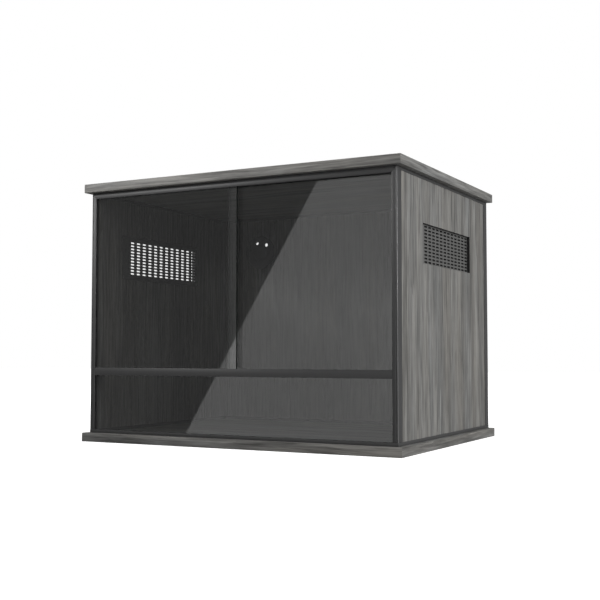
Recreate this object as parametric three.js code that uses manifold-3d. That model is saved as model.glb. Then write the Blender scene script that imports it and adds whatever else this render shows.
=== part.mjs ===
// Terrarium cabinet: a wood-look case in dark edge profiles, with two sliding glass doors,
// a fixed front pane, a slotted vent in each side and a cable outlet in the back.
// Millimetres, +Z up. The origin is the centre of the base board's underside and the front faces -Y.
import * as THREE from "three";
import { mergeVertices } from "three/addons/utils/BufferGeometryUtils.js";
import Module from "manifold-3d";

const wasm = await Module();
wasm.setup();

// ---- driving dimensions -------------------------------------------------------------------

// Whole cabinet and its boards
const cabinetWidth = 600;
const cabinetDepth = 450;
const cabinetHeight = 450;
const boardThickness = 15;
const boardEdgeBevel = 0.6;
const sideOverhang = 10;
const frontOverhang = 10;
const rearOverhang = 5;
const panelThickness = 8;

// Fits
const seatGap = 0.2; // between fixed pieces
const slideGap = 0.3; // around glass and other loose or moving pieces

// Dark edge profiles
const flangeThickness = 1;
const flangeDepth = 17; // of a post, along the side panel
const lipThickness = 1.2;
const ribThickness = 0.9;
const cornerRadius = 0.9;
const cornerSteps = 3;
const beadWidth = 2; // from a post's outer edge to the fine groove in its face
const fineGrooveWidth = 1.8;
const fineGrooveDepth = 0.5;
const channelWeb = 2;
const baseChannelHeight = 5.5;
const topChannelHeight = 5;

// Front: tracks and glass
const glassThickness = 4;
const glassArris = 0.4;
const upperTrackHeight = 10.5;
const railBeadWidth = 3.2; // from the upper track's top to the fine groove in its face
const lowerTrackBottom = 115;
const lowerTrackHeight = 13;
const lowerGrooveDepth = 5;
const trackFloor = 2;
const upperEngagement = 2.7; // of a door's top edge in the upper track
const doorEntry = 4.2; // of the left door's edge in its post
const doorOverlap = 20.5;

// Vents
const ventWidth = 229;
const ventHeight = 64;
const ventDrop = 107; // from the top board down to the vents' centre
const leftVentAhead = 22.5; // of the left vent's centre before the body's middle
const rightVentBehind = 6; // of the right vent's centre behind it
const grilleThickness = 3;
const grilleMargin = 8; // seat round the cut-out
const slotColumns = 12;
const slotRows = 11;
const slotBarWidth = 5.1; // upright bars between columns
const slotBarHeight = 2.7; // level bars between rows
const slotFieldEdge = 2; // from the cut-out's edge to the first row
const slotFieldFront = 18.5; // from the cut-out's front edge to the first column
const slotFieldRear = 1.2; // from the last column to the cut-out's rear edge

// Cable outlet
const glandSideInset = 94; // from the left side face to the outlet's centre
const glandDrop = 72; // from the top board down to the outlet's centre
const glandHoleRadius = 30;
const glandWall = 2.2;
const glandFlangeRadius = 34;
const glandFlangeThickness = 2;
const glandSnapHeight = 0.9;
const glandLipWidth = 1.1; // keeps the cap in its seat
const glandLipThickness = 0.8;
const glandLedgeWidth = 2;
const glandSnapThickness = 1.2;
const capThickness = 2.4;
const capDomeRadius = 15;
const capDomeHeight = 0.8;
const cableHoleRadius = 3.5;
const cableHoleCircle = 21.5;
const cableHoleSpread = 63.4; // degrees between the two cable holes
const capTurn = 12; // degrees from upright, as the cap was left
const roundSides = 32;
const cableHoleSides = 16;

// Screws: shank radius, head radius, head height, length
const channelScrew = { shank: 1.5, head: 2.9, headHeight: 1.5, length: 12 };
const trackScrew = { shank: 1.1, head: 1.9, headHeight: 1, length: 11 };
const ventScrew = { shank: 1.1, head: 2.3, headHeight: 1.2, length: 6 };
const screwSides = 8;
const screwEndInset = 60; // of the first and last screw from a channel's ends

// ---- places worked out from them ----------------------------------------------------------

const bodyHalfWidth = cabinetWidth / 2 - sideOverhang;
const bodyFront = -cabinetDepth / 2 + frontOverhang;
const bodyRear = cabinetDepth / 2 - rearOverhang;
const bodyBottom = boardThickness;
const bodyTop = cabinetHeight - boardThickness;

const glassSlot = glassThickness + 2 * slideGap;
const panelSlot = panelThickness + 2 * seatGap;
const faceWidth = flangeThickness + seatGap + panelThickness;
const panelOuter = bodyHalfWidth - flangeThickness - seatGap;
const panelInner = bodyHalfWidth - faceWidth;
const panelBottom = bodyBottom + seatGap + channelWeb + seatGap;
const panelTop = bodyTop - seatGap - channelWeb - seatGap;
const postBottom = bodyBottom + seatGap + baseChannelHeight + seatGap;
const postTop = bodyTop - seatGap;
const flangeTop = bodyTop - seatGap - topChannelHeight - seatGap;

// Depths behind the front face
const frontSlotStart = lipThickness;
const frontSlotEnd = frontSlotStart + glassSlot;
const rearSlotStart = frontSlotEnd + ribThickness;
const rearSlotEnd = rearSlotStart + glassSlot;
const trackDepth = rearSlotEnd + lipThickness;
const frontGlassDepth = frontSlotStart + slideGap;
const rearGlassDepth = rearSlotStart + slideGap;

// Depths in from the rear face
const backSlotEnd = lipThickness + panelSlot;
const backWebEnd = backSlotEnd + ribThickness;
const backPanelOuterY = bodyRear - lipThickness - seatGap;
const backPanelInnerY = backPanelOuterY - panelThickness;
const sidePanelFrontY = bodyFront + rearSlotStart + seatGap;
const sidePanelRearY = bodyRear - backWebEnd - seatGap;

// Heights of the tracks and the glass
const trackHalfLength = panelInner - seatGap;
const lowerFloorTop = lowerTrackBottom + lowerTrackHeight - lowerGrooveDepth;
const lowerFloorBottom = lowerFloorTop - trackFloor;
const upperLipBottom = bodyTop - upperTrackHeight;
const upperWebBottom = postTop - channelWeb;
const doorBottom = lowerFloorTop + slideGap;
const doorTop = upperLipBottom + upperEngagement;
const leftDoorLeft = -panelInner - doorEntry;
const rightDoorRight = panelInner - slideGap;
const doorWidth = (rightDoorRight - leftDoorLeft + doorOverlap) / 2;
const fixedGlassHalfWidth = bodyHalfWidth - flangeThickness - slideGap;
const fixedGlassBottom = bodyBottom + seatGap + channelWeb + slideGap;
const fixedGlassTop = lowerFloorBottom - slideGap;

// Places of the vents and the cable outlet
const bodyMiddleY = (bodyFront + bodyRear) / 2;
const ventCentreY = (side) => bodyMiddleY + (side > 0 ? rightVentBehind : -leftVentAhead);
const ventCentreZ = bodyTop - ventDrop;
const glandX = glandSideInset - bodyHalfWidth;
const glandZ = bodyTop - glandDrop;

const grilleSeatDepth = grilleThickness + seatGap;
const grilleWidth = ventWidth + 2 * (grilleMargin - slideGap);
const grilleHeight = ventHeight + 2 * (grilleMargin - slideGap);

// ---- materials ----------------------------------------------------------------------------

const finishes = {
  board: { color: 0x6e6c69, roughness: 0.62, metalness: 0 },
  panel: { color: 0x74726e, roughness: 0.65, metalness: 0 },
  profile: { color: 0x2c2c2d, roughness: 0.45, metalness: 0 },
  glass: { color: 0xaab4b2, roughness: 0.05, metalness: 0, transparent: true, opacity: 0.3 },
  grille: { color: 0x5e5e5d, roughness: 0.55, metalness: 0 },
  gland: { color: 0x1d1d1e, roughness: 0.5, metalness: 0 },
  screw: { color: 0x8a8c8e, roughness: 0.35, metalness: 0.9 },
};

// A mesh with a material of its own, placed in its group.
function piece(group, name, geometry, finish, position = [0, 0, 0]) {
  const mesh = new THREE.Mesh(geometry, new THREE.MeshStandardMaterial(finishes[finish]));
  mesh.name = name;
  mesh.position.set(...position);
  group.add(mesh);
  return mesh;
}

// ---- solids -------------------------------------------------------------------------------

const axisX = new THREE.Vector3(1, 0, 0);
const axisY = new THREE.Vector3(0, 1, 0);
const axisZ = new THREE.Vector3(0, 0, 1);
const cutReach = 1; // how far a cutter stands out of what it cuts

function shapeOf(points) {
  return new THREE.Shape(points.map(([x, y]) => new THREE.Vector2(x, y)));
}

function rectangle(left, low, right, high) {
  return [[left, low], [right, low], [right, high], [left, high]];
}

function extruded(points, depth, bevel = 0) {
  return new THREE.ExtrudeGeometry(shapeOf(points), {
    depth: depth - 2 * bevel,
    bevelEnabled: bevel > 0,
    bevelThickness: bevel,
    bevelSize: bevel,
    bevelOffset: -bevel,
    bevelSegments: 1,
  }).translate(0, 0, bevel);
}

// Points are (x, y), drawn up from bottom to top.
function uprightBar(points, bottom, top, bevel = 0) {
  return extruded(points, top - bottom, bevel).translate(0, 0, bottom);
}

// Points are (y, z), drawn from left to right.
function barAlongX(points, left, right) {
  const turn = new THREE.Matrix4().makeBasis(axisY, axisZ, axisX);
  return extruded(points, right - left).applyMatrix4(turn).translate(left, 0, 0);
}

// Points are (x, z), drawn from front to rear.
function barAlongY(points, front, rear, bevel = 0) {
  const turn = new THREE.Matrix4().makeBasis(axisX, axisZ, axisY.clone().negate());
  return extruded(points, rear - front, bevel).applyMatrix4(turn).translate(0, rear, 0);
}

function solidOf(geometry) {
  const bare = geometry.clone();
  bare.deleteAttribute("normal");
  bare.deleteAttribute("uv");
  const merged = mergeVertices(bare, 1e-4);
  return new wasm.Manifold(new wasm.Mesh({
    numProp: 3,
    vertProperties: new Float32Array(merged.attributes.position.array),
    triVerts: new Uint32Array(merged.index.array),
  }));
}

function geometryOf(solid) {
  const { vertProperties, triVerts } = solid.getMesh();
  const geometry = new THREE.BufferGeometry();
  geometry.setAttribute("position", new THREE.BufferAttribute(vertProperties, 3));
  geometry.setIndex(new THREE.BufferAttribute(triVerts, 1));
  const faceted = geometry.toNonIndexed();
  faceted.computeVertexNormals();
  return faceted;
}

function joined(...geometries) {
  return geometryOf(geometries.map(solidOf).reduce((sum, solid) => sum.add(solid)));
}

function cut(geometry, cutters) {
  const left = cutters.map(solidOf).reduce((rest, cutter) => rest.subtract(cutter), solidOf(geometry));
  return geometryOf(left);
}

// ---- screws -------------------------------------------------------------------------------

// Turns a profile of (radius, height) about +Z.
function turned(profile, sides) {
  const points = profile.map(([r, z]) => new THREE.Vector2(r, z));
  return new THREE.LatheGeometry(points, sides).rotateX(Math.PI / 2);
}

// A countersunk screw. Its head's flat face is at the origin and it points along +Z.
function screwBody(kind) {
  return turned([
    [0, 0],
    [kind.head, 0],
    [kind.shank, kind.headHeight],
    [kind.shank, kind.length],
    [0, kind.length],
  ], screwSides);
}

// The hole that such a screw needs, run out past its head.
function screwHole(kind) {
  const head = kind.head + seatGap;
  const shank = kind.shank + seatGap;
  const end = kind.length + seatGap;
  return turned([
    [0, -cutReach],
    [head, -cutReach],
    [head, seatGap],
    [shank, kind.headHeight + seatGap],
    [shank, end],
    [0, end],
  ], screwSides);
}

// Turns a shape drawn along +Z so that it points along a row axis, and puts it in its place.
function placed(geometry, direction, position) {
  const turn = new THREE.Quaternion().setFromUnitVectors(axisZ, new THREE.Vector3(...direction));
  return geometry.applyQuaternion(turn).translate(...position);
}

function screwHoles(kind, direction, places) {
  return places.map((place) => placed(screwHole(kind), direction, place));
}

function addScrews(group, name, kind, direction, places) {
  places.forEach((place, i) => {
    piece(group, `${name}_${i + 1}`, placed(screwBody(kind), direction, [0, 0, 0]), "screw", place);
  });
}

// Evenly spread values from first to last.
function spread(first, last, count) {
  return Array.from({ length: count }, (_, i) => first + ((last - first) * i) / (count - 1));
}

const up = [0, 0, 1];
const down = [0, 0, -1];
const channelFloorTop = bodyBottom + seatGap + channelWeb;
const channelRoofBottom = bodyTop - seatGap - channelWeb;
const panelMiddle = (panelOuter + panelInner) / 2;
const backPanelMiddleY = (backPanelOuterY + backPanelInnerY) / 2;
const sideScrewYs = spread(sidePanelFrontY + screwEndInset, sidePanelRearY - screwEndInset, 2);
const rearScrewXs = spread(-panelInner + screwEndInset, panelInner - screwEndInset, 2);
const trackScrewXs = spread(-panelInner + screwEndInset, panelInner - screwEndInset, 3);

const sideScrewPlaces = (side, z) => sideScrewYs.map((y) => [side * panelMiddle, y, z]);
const rearScrewPlaces = (z) => rearScrewXs.map((x) => [x, backPanelMiddleY, z]);
const upperTrackScrewPlaces = trackScrewXs.map((x) => [
  x, bodyFront + (rearSlotStart + rearSlotEnd) / 2, upperWebBottom,
]);
const frontChannelScrewPlaces = trackScrewXs.map((x) => [
  x, bodyFront + (frontSlotStart + frontSlotEnd) / 2, channelFloorTop,
]);

// ---- boards and panels --------------------------------------------------------------------

function board(bottom) {
  const outline = rectangle(-cabinetWidth / 2, -cabinetDepth / 2, cabinetWidth / 2, cabinetDepth / 2);
  return uprightBar(outline, bottom, bottom + boardThickness, boardEdgeBevel);
}

function baseBoard() {
  return cut(board(0), [
    ...screwHoles(channelScrew, down, sideScrewPlaces(-1, channelFloorTop)),
    ...screwHoles(channelScrew, down, sideScrewPlaces(1, channelFloorTop)),
    ...screwHoles(channelScrew, down, rearScrewPlaces(channelFloorTop)),
    ...screwHoles(trackScrew, down, frontChannelScrewPlaces),
  ]);
}

function topBoard() {
  return cut(board(bodyTop), [
    ...screwHoles(channelScrew, up, sideScrewPlaces(-1, channelRoofBottom)),
    ...screwHoles(channelScrew, up, sideScrewPlaces(1, channelRoofBottom)),
    ...screwHoles(channelScrew, up, rearScrewPlaces(channelRoofBottom)),
    ...screwHoles(trackScrew, up, upperTrackScrewPlaces),
  ]);
}

// A box between two corners.
function block(low, high) {
  return uprightBar(rectangle(low[0], low[1], high[0], high[1]), low[2], high[2]);
}

// A box given by its reach in from the side face (near, far), mirrored to the left or right side.
function sideBlock(side, near, far, front, rear, bottom, top) {
  const xs = [side * near, side * far].sort((a, b) => a - b);
  return block([xs[0], front, bottom], [xs[1], rear, top]);
}

const ventScrewPlaces = (side) => [-1, 1].flatMap((across) => [-1, 1].map((rise) => [
  side * panelInner,
  ventCentreY(side) + (across * (ventWidth + grilleMargin)) / 2,
  ventCentreZ + (rise * (ventHeight + grilleMargin)) / 2,
]));

function sidePanel(side) {
  const sheet = sideBlock(side, panelInner, panelOuter,
    sidePanelFrontY, sidePanelRearY, panelBottom, panelTop);
  const halfWidth = ventWidth / 2;
  const halfHeight = ventHeight / 2;
  const centreY = ventCentreY(side);
  const opening = sideBlock(side, panelInner - cutReach, panelOuter + cutReach,
    centreY - halfWidth, centreY + halfWidth,
    ventCentreZ - halfHeight, ventCentreZ + halfHeight);
  const seat = sideBlock(side, panelInner - cutReach, panelInner + grilleSeatDepth,
    centreY - halfWidth - grilleMargin, centreY + halfWidth + grilleMargin,
    ventCentreZ - halfHeight - grilleMargin, ventCentreZ + halfHeight + grilleMargin);
  return cut(sheet, [opening, seat, ...screwHoles(ventScrew, [side, 0, 0], ventScrewPlaces(side))]);
}

function backPanel() {
  const lowCorner = [-panelOuter, backPanelInnerY, panelBottom];
  const highCorner = [panelOuter, backPanelOuterY, panelTop];
  const hole = new THREE.CylinderGeometry(
    glandHoleRadius, glandHoleRadius, panelThickness + 2 * cutReach, roundSides,
  ).translate(glandX, backPanelMiddleY, glandZ);
  return cut(block(lowCorner, highCorner), [hole]);
}

// ---- posts --------------------------------------------------------------------------------

// The rounded outer corner and the fine groove beside it, as (in from the side, in from the face).
function facePoints() {
  const arc = Array.from({ length: cornerSteps + 1 }, (_, i) => {
    const angle = (Math.PI / 2) * (i / cornerSteps);
    return [cornerRadius * (1 - Math.cos(angle)), cornerRadius * (1 - Math.sin(angle))];
  });
  return [
    ...arc,
    [beadWidth, 0],
    [beadWidth, fineGrooveDepth],
    [beadWidth + fineGrooveWidth, fineGrooveDepth],
    [beadWidth + fineGrooveWidth, 0],
    [faceWidth, 0],
    [faceWidth, lipThickness],
  ];
}

// A post's section: a lip, a slot of the given depth behind it, and the web that closes the slot.
function postSection(slot) {
  const slotEnd = lipThickness + slot;
  const webEnd = slotEnd + ribThickness;
  return [
    ...facePoints(),
    [flangeThickness, lipThickness],
    [flangeThickness, slotEnd],
    [faceWidth, slotEnd],
    [faceWidth, webEnd],
    [0, webEnd],
  ];
}

// What the mitre takes off a front post's lip, so that the upper track's lip meets it.
function mitreCutter(side) {
  const near = -cutReach;
  const far = faceWidth + cutReach;
  const mitreZ = (inset) => bodyTop - seatGap - (upperTrackHeight / faceWidth) * inset;
  const outline = [
    [near, mitreZ(near)],
    [far, mitreZ(far)],
    [far, bodyTop + cutReach],
    [near, bodyTop + cutReach],
  ].map(([inset, z]) => [side * (bodyHalfWidth - inset), z]);
  return barAlongY(outline, bodyFront - cutReach, bodyFront + lipThickness + seatGap);
}

function post(side, slot, toPlan) {
  const webEnd = lipThickness + slot + ribThickness;
  const box = uprightBar(postSection(slot).map(([u, v]) => toPlan(side, u, v)), postBottom, postTop);
  const flange = rectangle(0, webEnd - ribThickness, flangeThickness, flangeDepth);
  return joined(box, uprightBar(flange.map(([u, v]) => toPlan(side, u, v)), postBottom, flangeTop));
}

const frontPlan = (side, u, v) => [side * (bodyHalfWidth - u), bodyFront + v];
const rearPlan = (side, u, v) => [side * (bodyHalfWidth - u), bodyRear - v];

const frontPost = (side) => cut(post(side, glassSlot, frontPlan), [mitreCutter(side)]);
const rearPost = (side) => post(side, panelSlot, rearPlan);

// ---- channels -----------------------------------------------------------------------------

// A U section as (across, height), open upwards, drawn from its web.
function channelSection(outerLip, slot, innerLip, height) {
  const width = outerLip + slot + innerLip;
  return [
    [0, 0],
    [width, 0],
    [width, height],
    [width - innerLip, height],
    [width - innerLip, channelWeb],
    [outerLip, channelWeb],
    [outerLip, height],
    [0, height],
  ];
}

function sideChannel(side, atTop) {
  const height = atTop ? topChannelHeight : baseChannelHeight;
  const toZ = (h) => (atTop ? bodyTop - seatGap - h : bodyBottom + seatGap + h);
  const section = channelSection(flangeThickness, panelSlot, flangeThickness, height);
  const points = section.map(([u, h]) => [side * (bodyHalfWidth - u), toZ(h)]);
  const bar = barAlongY(points, sidePanelFrontY, sidePanelRearY);
  const places = sideScrewPlaces(side, atTop ? channelRoofBottom : channelFloorTop);
  const holes = screwHoles(channelScrew, atTop ? up : down, places);
  // The upper channel is notched round the end of the upper door track.
  const notch = sideBlock(side, trackHalfLength - cutReach, trackHalfLength + seatGap,
    bodyFront, bodyFront + trackDepth + seatGap, upperLipBottom, bodyTop);
  return cut(bar, atTop ? [notch, ...holes] : holes);
}

// Both ends of a base channel are closed, because the posts stand on them.
function endWalls(front, rear) {
  return [-1, 1].map((side) => sideBlock(side, bodyHalfWidth - flangeThickness, bodyHalfWidth,
    front, rear, bodyBottom + seatGap, bodyBottom + seatGap + baseChannelHeight));
}

function rearChannel(atTop) {
  const height = atTop ? topChannelHeight : baseChannelHeight;
  const halfLength = atTop ? trackHalfLength : bodyHalfWidth;
  const toZ = (h) => (atTop ? bodyTop - seatGap - h : bodyBottom + seatGap + h);
  const section = channelSection(lipThickness, panelSlot, ribThickness, height);
  const points = section.map(([v, h]) => [bodyRear - v, toZ(h)]);
  const bar = barAlongX(points, -halfLength, halfLength);
  const whole = atTop ? bar : joined(bar, ...endWalls(bodyRear - backWebEnd, bodyRear));
  const places = rearScrewPlaces(atTop ? channelRoofBottom : channelFloorTop);
  return cut(whole, screwHoles(channelScrew, atTop ? up : down, places));
}

function frontGlassChannel() {
  const section = channelSection(lipThickness, glassSlot, ribThickness, baseChannelHeight);
  const points = section.map(([v, h]) => [bodyFront + v, bodyBottom + seatGap + h]);
  const bar = barAlongX(points, -bodyHalfWidth, bodyHalfWidth);
  const whole = joined(bar, ...endWalls(bodyFront, bodyFront + rearSlotStart));
  return cut(whole, screwHoles(trackScrew, down, frontChannelScrewPlaces));
}

// ---- door tracks --------------------------------------------------------------------------

function upperTrack() {
  const grooves = [
    [0, postTop],
    [0, upperLipBottom],
    [frontSlotStart, upperLipBottom],
    [frontSlotStart, upperWebBottom],
    [frontSlotEnd, upperWebBottom],
    [frontSlotEnd, upperLipBottom],
    [rearSlotStart, upperLipBottom],
    [rearSlotStart, upperWebBottom],
    [rearSlotEnd, upperWebBottom],
    [rearSlotEnd, upperLipBottom],
    [trackDepth, upperLipBottom],
    [trackDepth, postTop],
  ];
  const body = barAlongX(grooves.map(([v, z]) => [bodyFront + v, z]), -trackHalfLength, trackHalfLength);
  const lipHalfLength = bodyHalfWidth - ((bodyTop - postTop) * faceWidth) / upperTrackHeight;
  const lip = barAlongY([
    [-lipHalfLength, postTop],
    [-panelInner, upperLipBottom],
    [panelInner, upperLipBottom],
    [lipHalfLength, postTop],
  ], bodyFront, bodyFront + lipThickness);
  const grooveTop = bodyTop - railBeadWidth;
  const fineGroove = block(
    [-bodyHalfWidth + beadWidth, bodyFront - cutReach, grooveTop - fineGrooveWidth],
    [bodyHalfWidth - beadWidth, bodyFront + fineGrooveDepth, grooveTop],
  );
  return cut(joined(body, lip), [fineGroove, ...screwHoles(trackScrew, up, upperTrackScrewPlaces)]);
}

function lowerTrack() {
  const top = lowerTrackBottom + lowerTrackHeight;
  const section = [
    [0, lowerTrackBottom],
    [frontSlotStart, lowerTrackBottom],
    [frontSlotStart, lowerFloorBottom],
    [frontSlotEnd, lowerFloorBottom],
    [frontSlotEnd, lowerTrackBottom],
    [rearSlotStart, lowerTrackBottom],
    [rearSlotStart, lowerFloorBottom],
    [trackDepth, lowerFloorBottom],
    [trackDepth, top],
    [rearSlotEnd, top],
    [rearSlotEnd, lowerFloorTop],
    [rearSlotStart, lowerFloorTop],
    [rearSlotStart, top],
    [frontSlotEnd, top],
    [frontSlotEnd, lowerFloorTop],
    [frontSlotStart, lowerFloorTop],
    [frontSlotStart, top],
    [0, top],
  ];
  const body = barAlongX(section.map(([v, z]) => [bodyFront + v, z]), -trackHalfLength, trackHalfLength);
  // The floor runs on into the posts' slots, which carry the track.
  const tongue = block(
    [-fixedGlassHalfWidth, bodyFront + frontGlassDepth, lowerFloorBottom],
    [fixedGlassHalfWidth, bodyFront + frontGlassDepth + glassThickness, lowerFloorTop],
  );
  return joined(body, tongue);
}

// ---- glass --------------------------------------------------------------------------------

// A pane from the origin to the right, up and back, with ground edges.
function pane(width, height) {
  return barAlongY(rectangle(0, 0, width, height), 0, glassThickness, glassArris);
}

// ---- vent grilles -------------------------------------------------------------------------

// What cuts the slots out of a plate whose centre is the origin.
function slotCutters(side) {
  const fieldWidth = ventWidth - slotFieldFront - slotFieldRear;
  const columnPitch = (fieldWidth + slotBarWidth) / slotColumns;
  const rowPitch = (ventHeight - 2 * slotFieldEdge + slotBarHeight) / slotRows;
  const cutters = [];
  for (let column = 0; column < slotColumns; column += 1) {
    for (let row = 0; row < slotRows; row += 1) {
      const front = -ventWidth / 2 + slotFieldFront + column * columnPitch;
      const low = -ventHeight / 2 + slotFieldEdge + row * rowPitch;
      cutters.push(sideBlock(side, -cutReach, grilleThickness + cutReach,
        front, front + columnPitch - slotBarWidth, low, low + rowPitch - slotBarHeight));
    }
  }
  return cutters;
}

// The plate stands upright with its flush face on x = 0 and its back towards the side it faces.
function grille(side) {
  const sheet = sideBlock(side, 0, grilleThickness,
    -grilleWidth / 2, grilleWidth / 2, -grilleHeight / 2, grilleHeight / 2);
  const places = ventScrewPlaces(side).map(([, y, z]) => [0, y - ventCentreY(side), z - ventCentreZ]);
  return cut(sheet, [...slotCutters(side), ...screwHoles(ventScrew, [side, 0, 0], places)]);
}

// ---- cable outlet -------------------------------------------------------------------------

const glandOuterRadius = glandHoleRadius - slideGap;
const glandBoreRadius = glandOuterRadius - glandWall;
const capSeatThickness = capThickness + 2 * slideGap;
const glandSleeveLength = panelThickness + seatGap + glandSnapThickness;

// Both are turned about +Z, with the flange's seat on the panel at z = 0 and the rear towards +Z.
function glandRing() {
  const front = -glandFlangeThickness;
  const seatFront = front + glandLipThickness;
  const seatRear = seatFront + capSeatThickness;
  const profile = [
    [glandBoreRadius - glandLipWidth, front],
    [glandFlangeRadius, front],
    [glandFlangeRadius, -seatGap],
    [glandOuterRadius, -seatGap],
    [glandOuterRadius, panelThickness + seatGap],
    [glandOuterRadius + glandSnapHeight, panelThickness + seatGap],
    [glandOuterRadius, glandSleeveLength],
    [glandBoreRadius - glandLedgeWidth, glandSleeveLength],
    [glandBoreRadius - glandLedgeWidth, seatRear],
    [glandBoreRadius, seatRear],
    [glandBoreRadius, seatFront],
    [glandBoreRadius - glandLipWidth, seatFront],
    [glandBoreRadius - glandLipWidth, front],
  ];
  return turned(profile, roundSides);
}

function glandCap() {
  const front = -glandFlangeThickness + glandLipThickness + slideGap;
  const radius = glandBoreRadius - slideGap;
  const profile = [
    [0, front - capDomeHeight],
    [capDomeRadius, front - capDomeHeight],
    [capDomeRadius + capDomeHeight, front],
    [radius, front],
    [radius, front + capThickness],
    [0, front + capThickness],
  ];
  const drill = new THREE.CylinderGeometry(
    cableHoleRadius, cableHoleRadius, capThickness + 2 * cutReach, cableHoleSides,
  ).rotateX(Math.PI / 2);
  const holes = [-1, 1].map((way) => {
    const angle = THREE.MathUtils.degToRad(90 - capTurn + (way * cableHoleSpread) / 2);
    const across = cableHoleCircle * Math.cos(angle);
    const rise = cableHoleCircle * Math.sin(angle);
    return drill.clone().translate(across, -rise, front + capThickness / 2);
  });
  return cut(turned(profile, roundSides), holes);
}

// ---- assembly -----------------------------------------------------------------------------

const cabinet = new THREE.Group();
const sides = [["left", -1], ["right", 1]];

piece(cabinet, "base_board", baseBoard(), "board");
piece(cabinet, "top_board", topBoard(), "board");
piece(cabinet, "back_panel", backPanel(), "panel");

for (const [name, side] of sides) {
  piece(cabinet, `${name}_side_panel`, sidePanel(side), "panel");
  piece(cabinet, `front_${name}_post`, frontPost(side), "profile");
  piece(cabinet, `rear_${name}_post`, rearPost(side), "profile");
  piece(cabinet, `${name}_base_channel`, sideChannel(side, false), "profile");
  piece(cabinet, `${name}_top_channel`, sideChannel(side, true), "profile");
  const lowScrews = sideScrewPlaces(side, channelFloorTop);
  const highScrews = sideScrewPlaces(side, channelRoofBottom);
  addScrews(cabinet, `${name}_base_channel_screw`, channelScrew, down, lowScrews);
  addScrews(cabinet, `${name}_top_channel_screw`, channelScrew, up, highScrews);
  const grillePlace = [side * panelInner, ventCentreY(side), ventCentreZ];
  piece(cabinet, `${name}_vent_grille`, grille(side), "grille", grillePlace);
  addScrews(cabinet, `${name}_vent_screw`, ventScrew, [side, 0, 0], ventScrewPlaces(side));
}

piece(cabinet, "rear_base_channel", rearChannel(false), "profile");
piece(cabinet, "rear_top_channel", rearChannel(true), "profile");
addScrews(cabinet, "rear_base_channel_screw", channelScrew, down, rearScrewPlaces(channelFloorTop));
addScrews(cabinet, "rear_top_channel_screw", channelScrew, up, rearScrewPlaces(channelRoofBottom));

piece(cabinet, "upper_door_track", upperTrack(), "profile");
piece(cabinet, "lower_door_track", lowerTrack(), "profile");
piece(cabinet, "front_glass_channel", frontGlassChannel(), "profile");
addScrews(cabinet, "upper_track_screw", trackScrew, up, upperTrackScrewPlaces);
addScrews(cabinet, "front_channel_screw", trackScrew, down, frontChannelScrewPlaces);

// The glass stands in a group at the front face, so that its depths are those behind the face.
const glazing = new THREE.Group();
glazing.position.set(0, bodyFront, 0);
cabinet.add(glazing);
const doorHeight = doorTop - doorBottom;
const fixedGlassHeight = fixedGlassTop - fixedGlassBottom;
piece(glazing, "left_door_glass", pane(doorWidth, doorHeight), "glass",
  [leftDoorLeft, frontGlassDepth, doorBottom]);
piece(glazing, "right_door_glass", pane(doorWidth, doorHeight), "glass",
  [rightDoorRight - doorWidth, rearGlassDepth, doorBottom]);
piece(glazing, "lower_front_glass", pane(2 * fixedGlassHalfWidth, fixedGlassHeight), "glass",
  [-fixedGlassHalfWidth, frontGlassDepth, fixedGlassBottom]);

// The outlet's own axis is turned from +Z to +Y, the way the cable leaves.
const outlet = new THREE.Group();
outlet.position.set(glandX, backPanelInnerY, glandZ);
outlet.rotation.x = -Math.PI / 2;
cabinet.add(outlet);
piece(outlet, "cable_gland_ring", glandRing(), "gland");
piece(outlet, "cable_gland_cap", glandCap(), "gland");

export default cabinet;
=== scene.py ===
"""Terrarium cabinet: grey oak boards and panels in dark edge profiles, with sliding glass.

Metres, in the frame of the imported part: the front faces -Y, Z points up, and the origin is
the centre of the base board's underside.
"""
import logging
import math
from contextlib import contextmanager
from dataclasses import dataclass, field
from enum import Enum
from typing import Callable, Iterator, Optional, Sequence

import bmesh
import bpy
from mathutils import Matrix, Vector


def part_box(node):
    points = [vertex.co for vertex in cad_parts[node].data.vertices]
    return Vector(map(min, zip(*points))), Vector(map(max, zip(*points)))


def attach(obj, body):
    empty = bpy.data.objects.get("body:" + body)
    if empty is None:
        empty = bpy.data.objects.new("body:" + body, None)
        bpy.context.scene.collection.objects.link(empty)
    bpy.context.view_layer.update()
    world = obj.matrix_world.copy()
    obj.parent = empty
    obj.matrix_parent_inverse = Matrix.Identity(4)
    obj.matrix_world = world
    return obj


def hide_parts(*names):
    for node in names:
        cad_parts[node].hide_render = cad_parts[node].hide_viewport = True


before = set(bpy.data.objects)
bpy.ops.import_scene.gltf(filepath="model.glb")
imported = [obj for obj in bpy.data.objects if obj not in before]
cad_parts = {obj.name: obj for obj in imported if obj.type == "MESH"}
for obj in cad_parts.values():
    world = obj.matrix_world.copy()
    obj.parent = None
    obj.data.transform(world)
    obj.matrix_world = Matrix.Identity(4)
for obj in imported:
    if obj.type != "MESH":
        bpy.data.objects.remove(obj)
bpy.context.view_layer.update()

MM = 0.001
BEYOND = 1.0 * MM  # how far a cutter stands out of what it cuts
HAIR = 0.01 * MM  # two places this close are the same
ALIGNED = 0.99  # the least cosine between two ways that are the same
SQUARE = 0.1  # the most cosine between two ways at right angles
Colour = tuple[float, float, float]
Point = tuple[float, float, float]
MeshTest = Callable[[Vector, Vector], bool]

log = logging.getLogger("terrarium_cabinet")


class Axis(Enum):
    """One of the cabinet's three directions."""

    X = 0
    Y = 1
    Z = 2

    @property
    def vector(self) -> Vector:
        """The direction as a unit vector."""
        return Vector([float(i == self.value) for i in range(3)])


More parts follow.
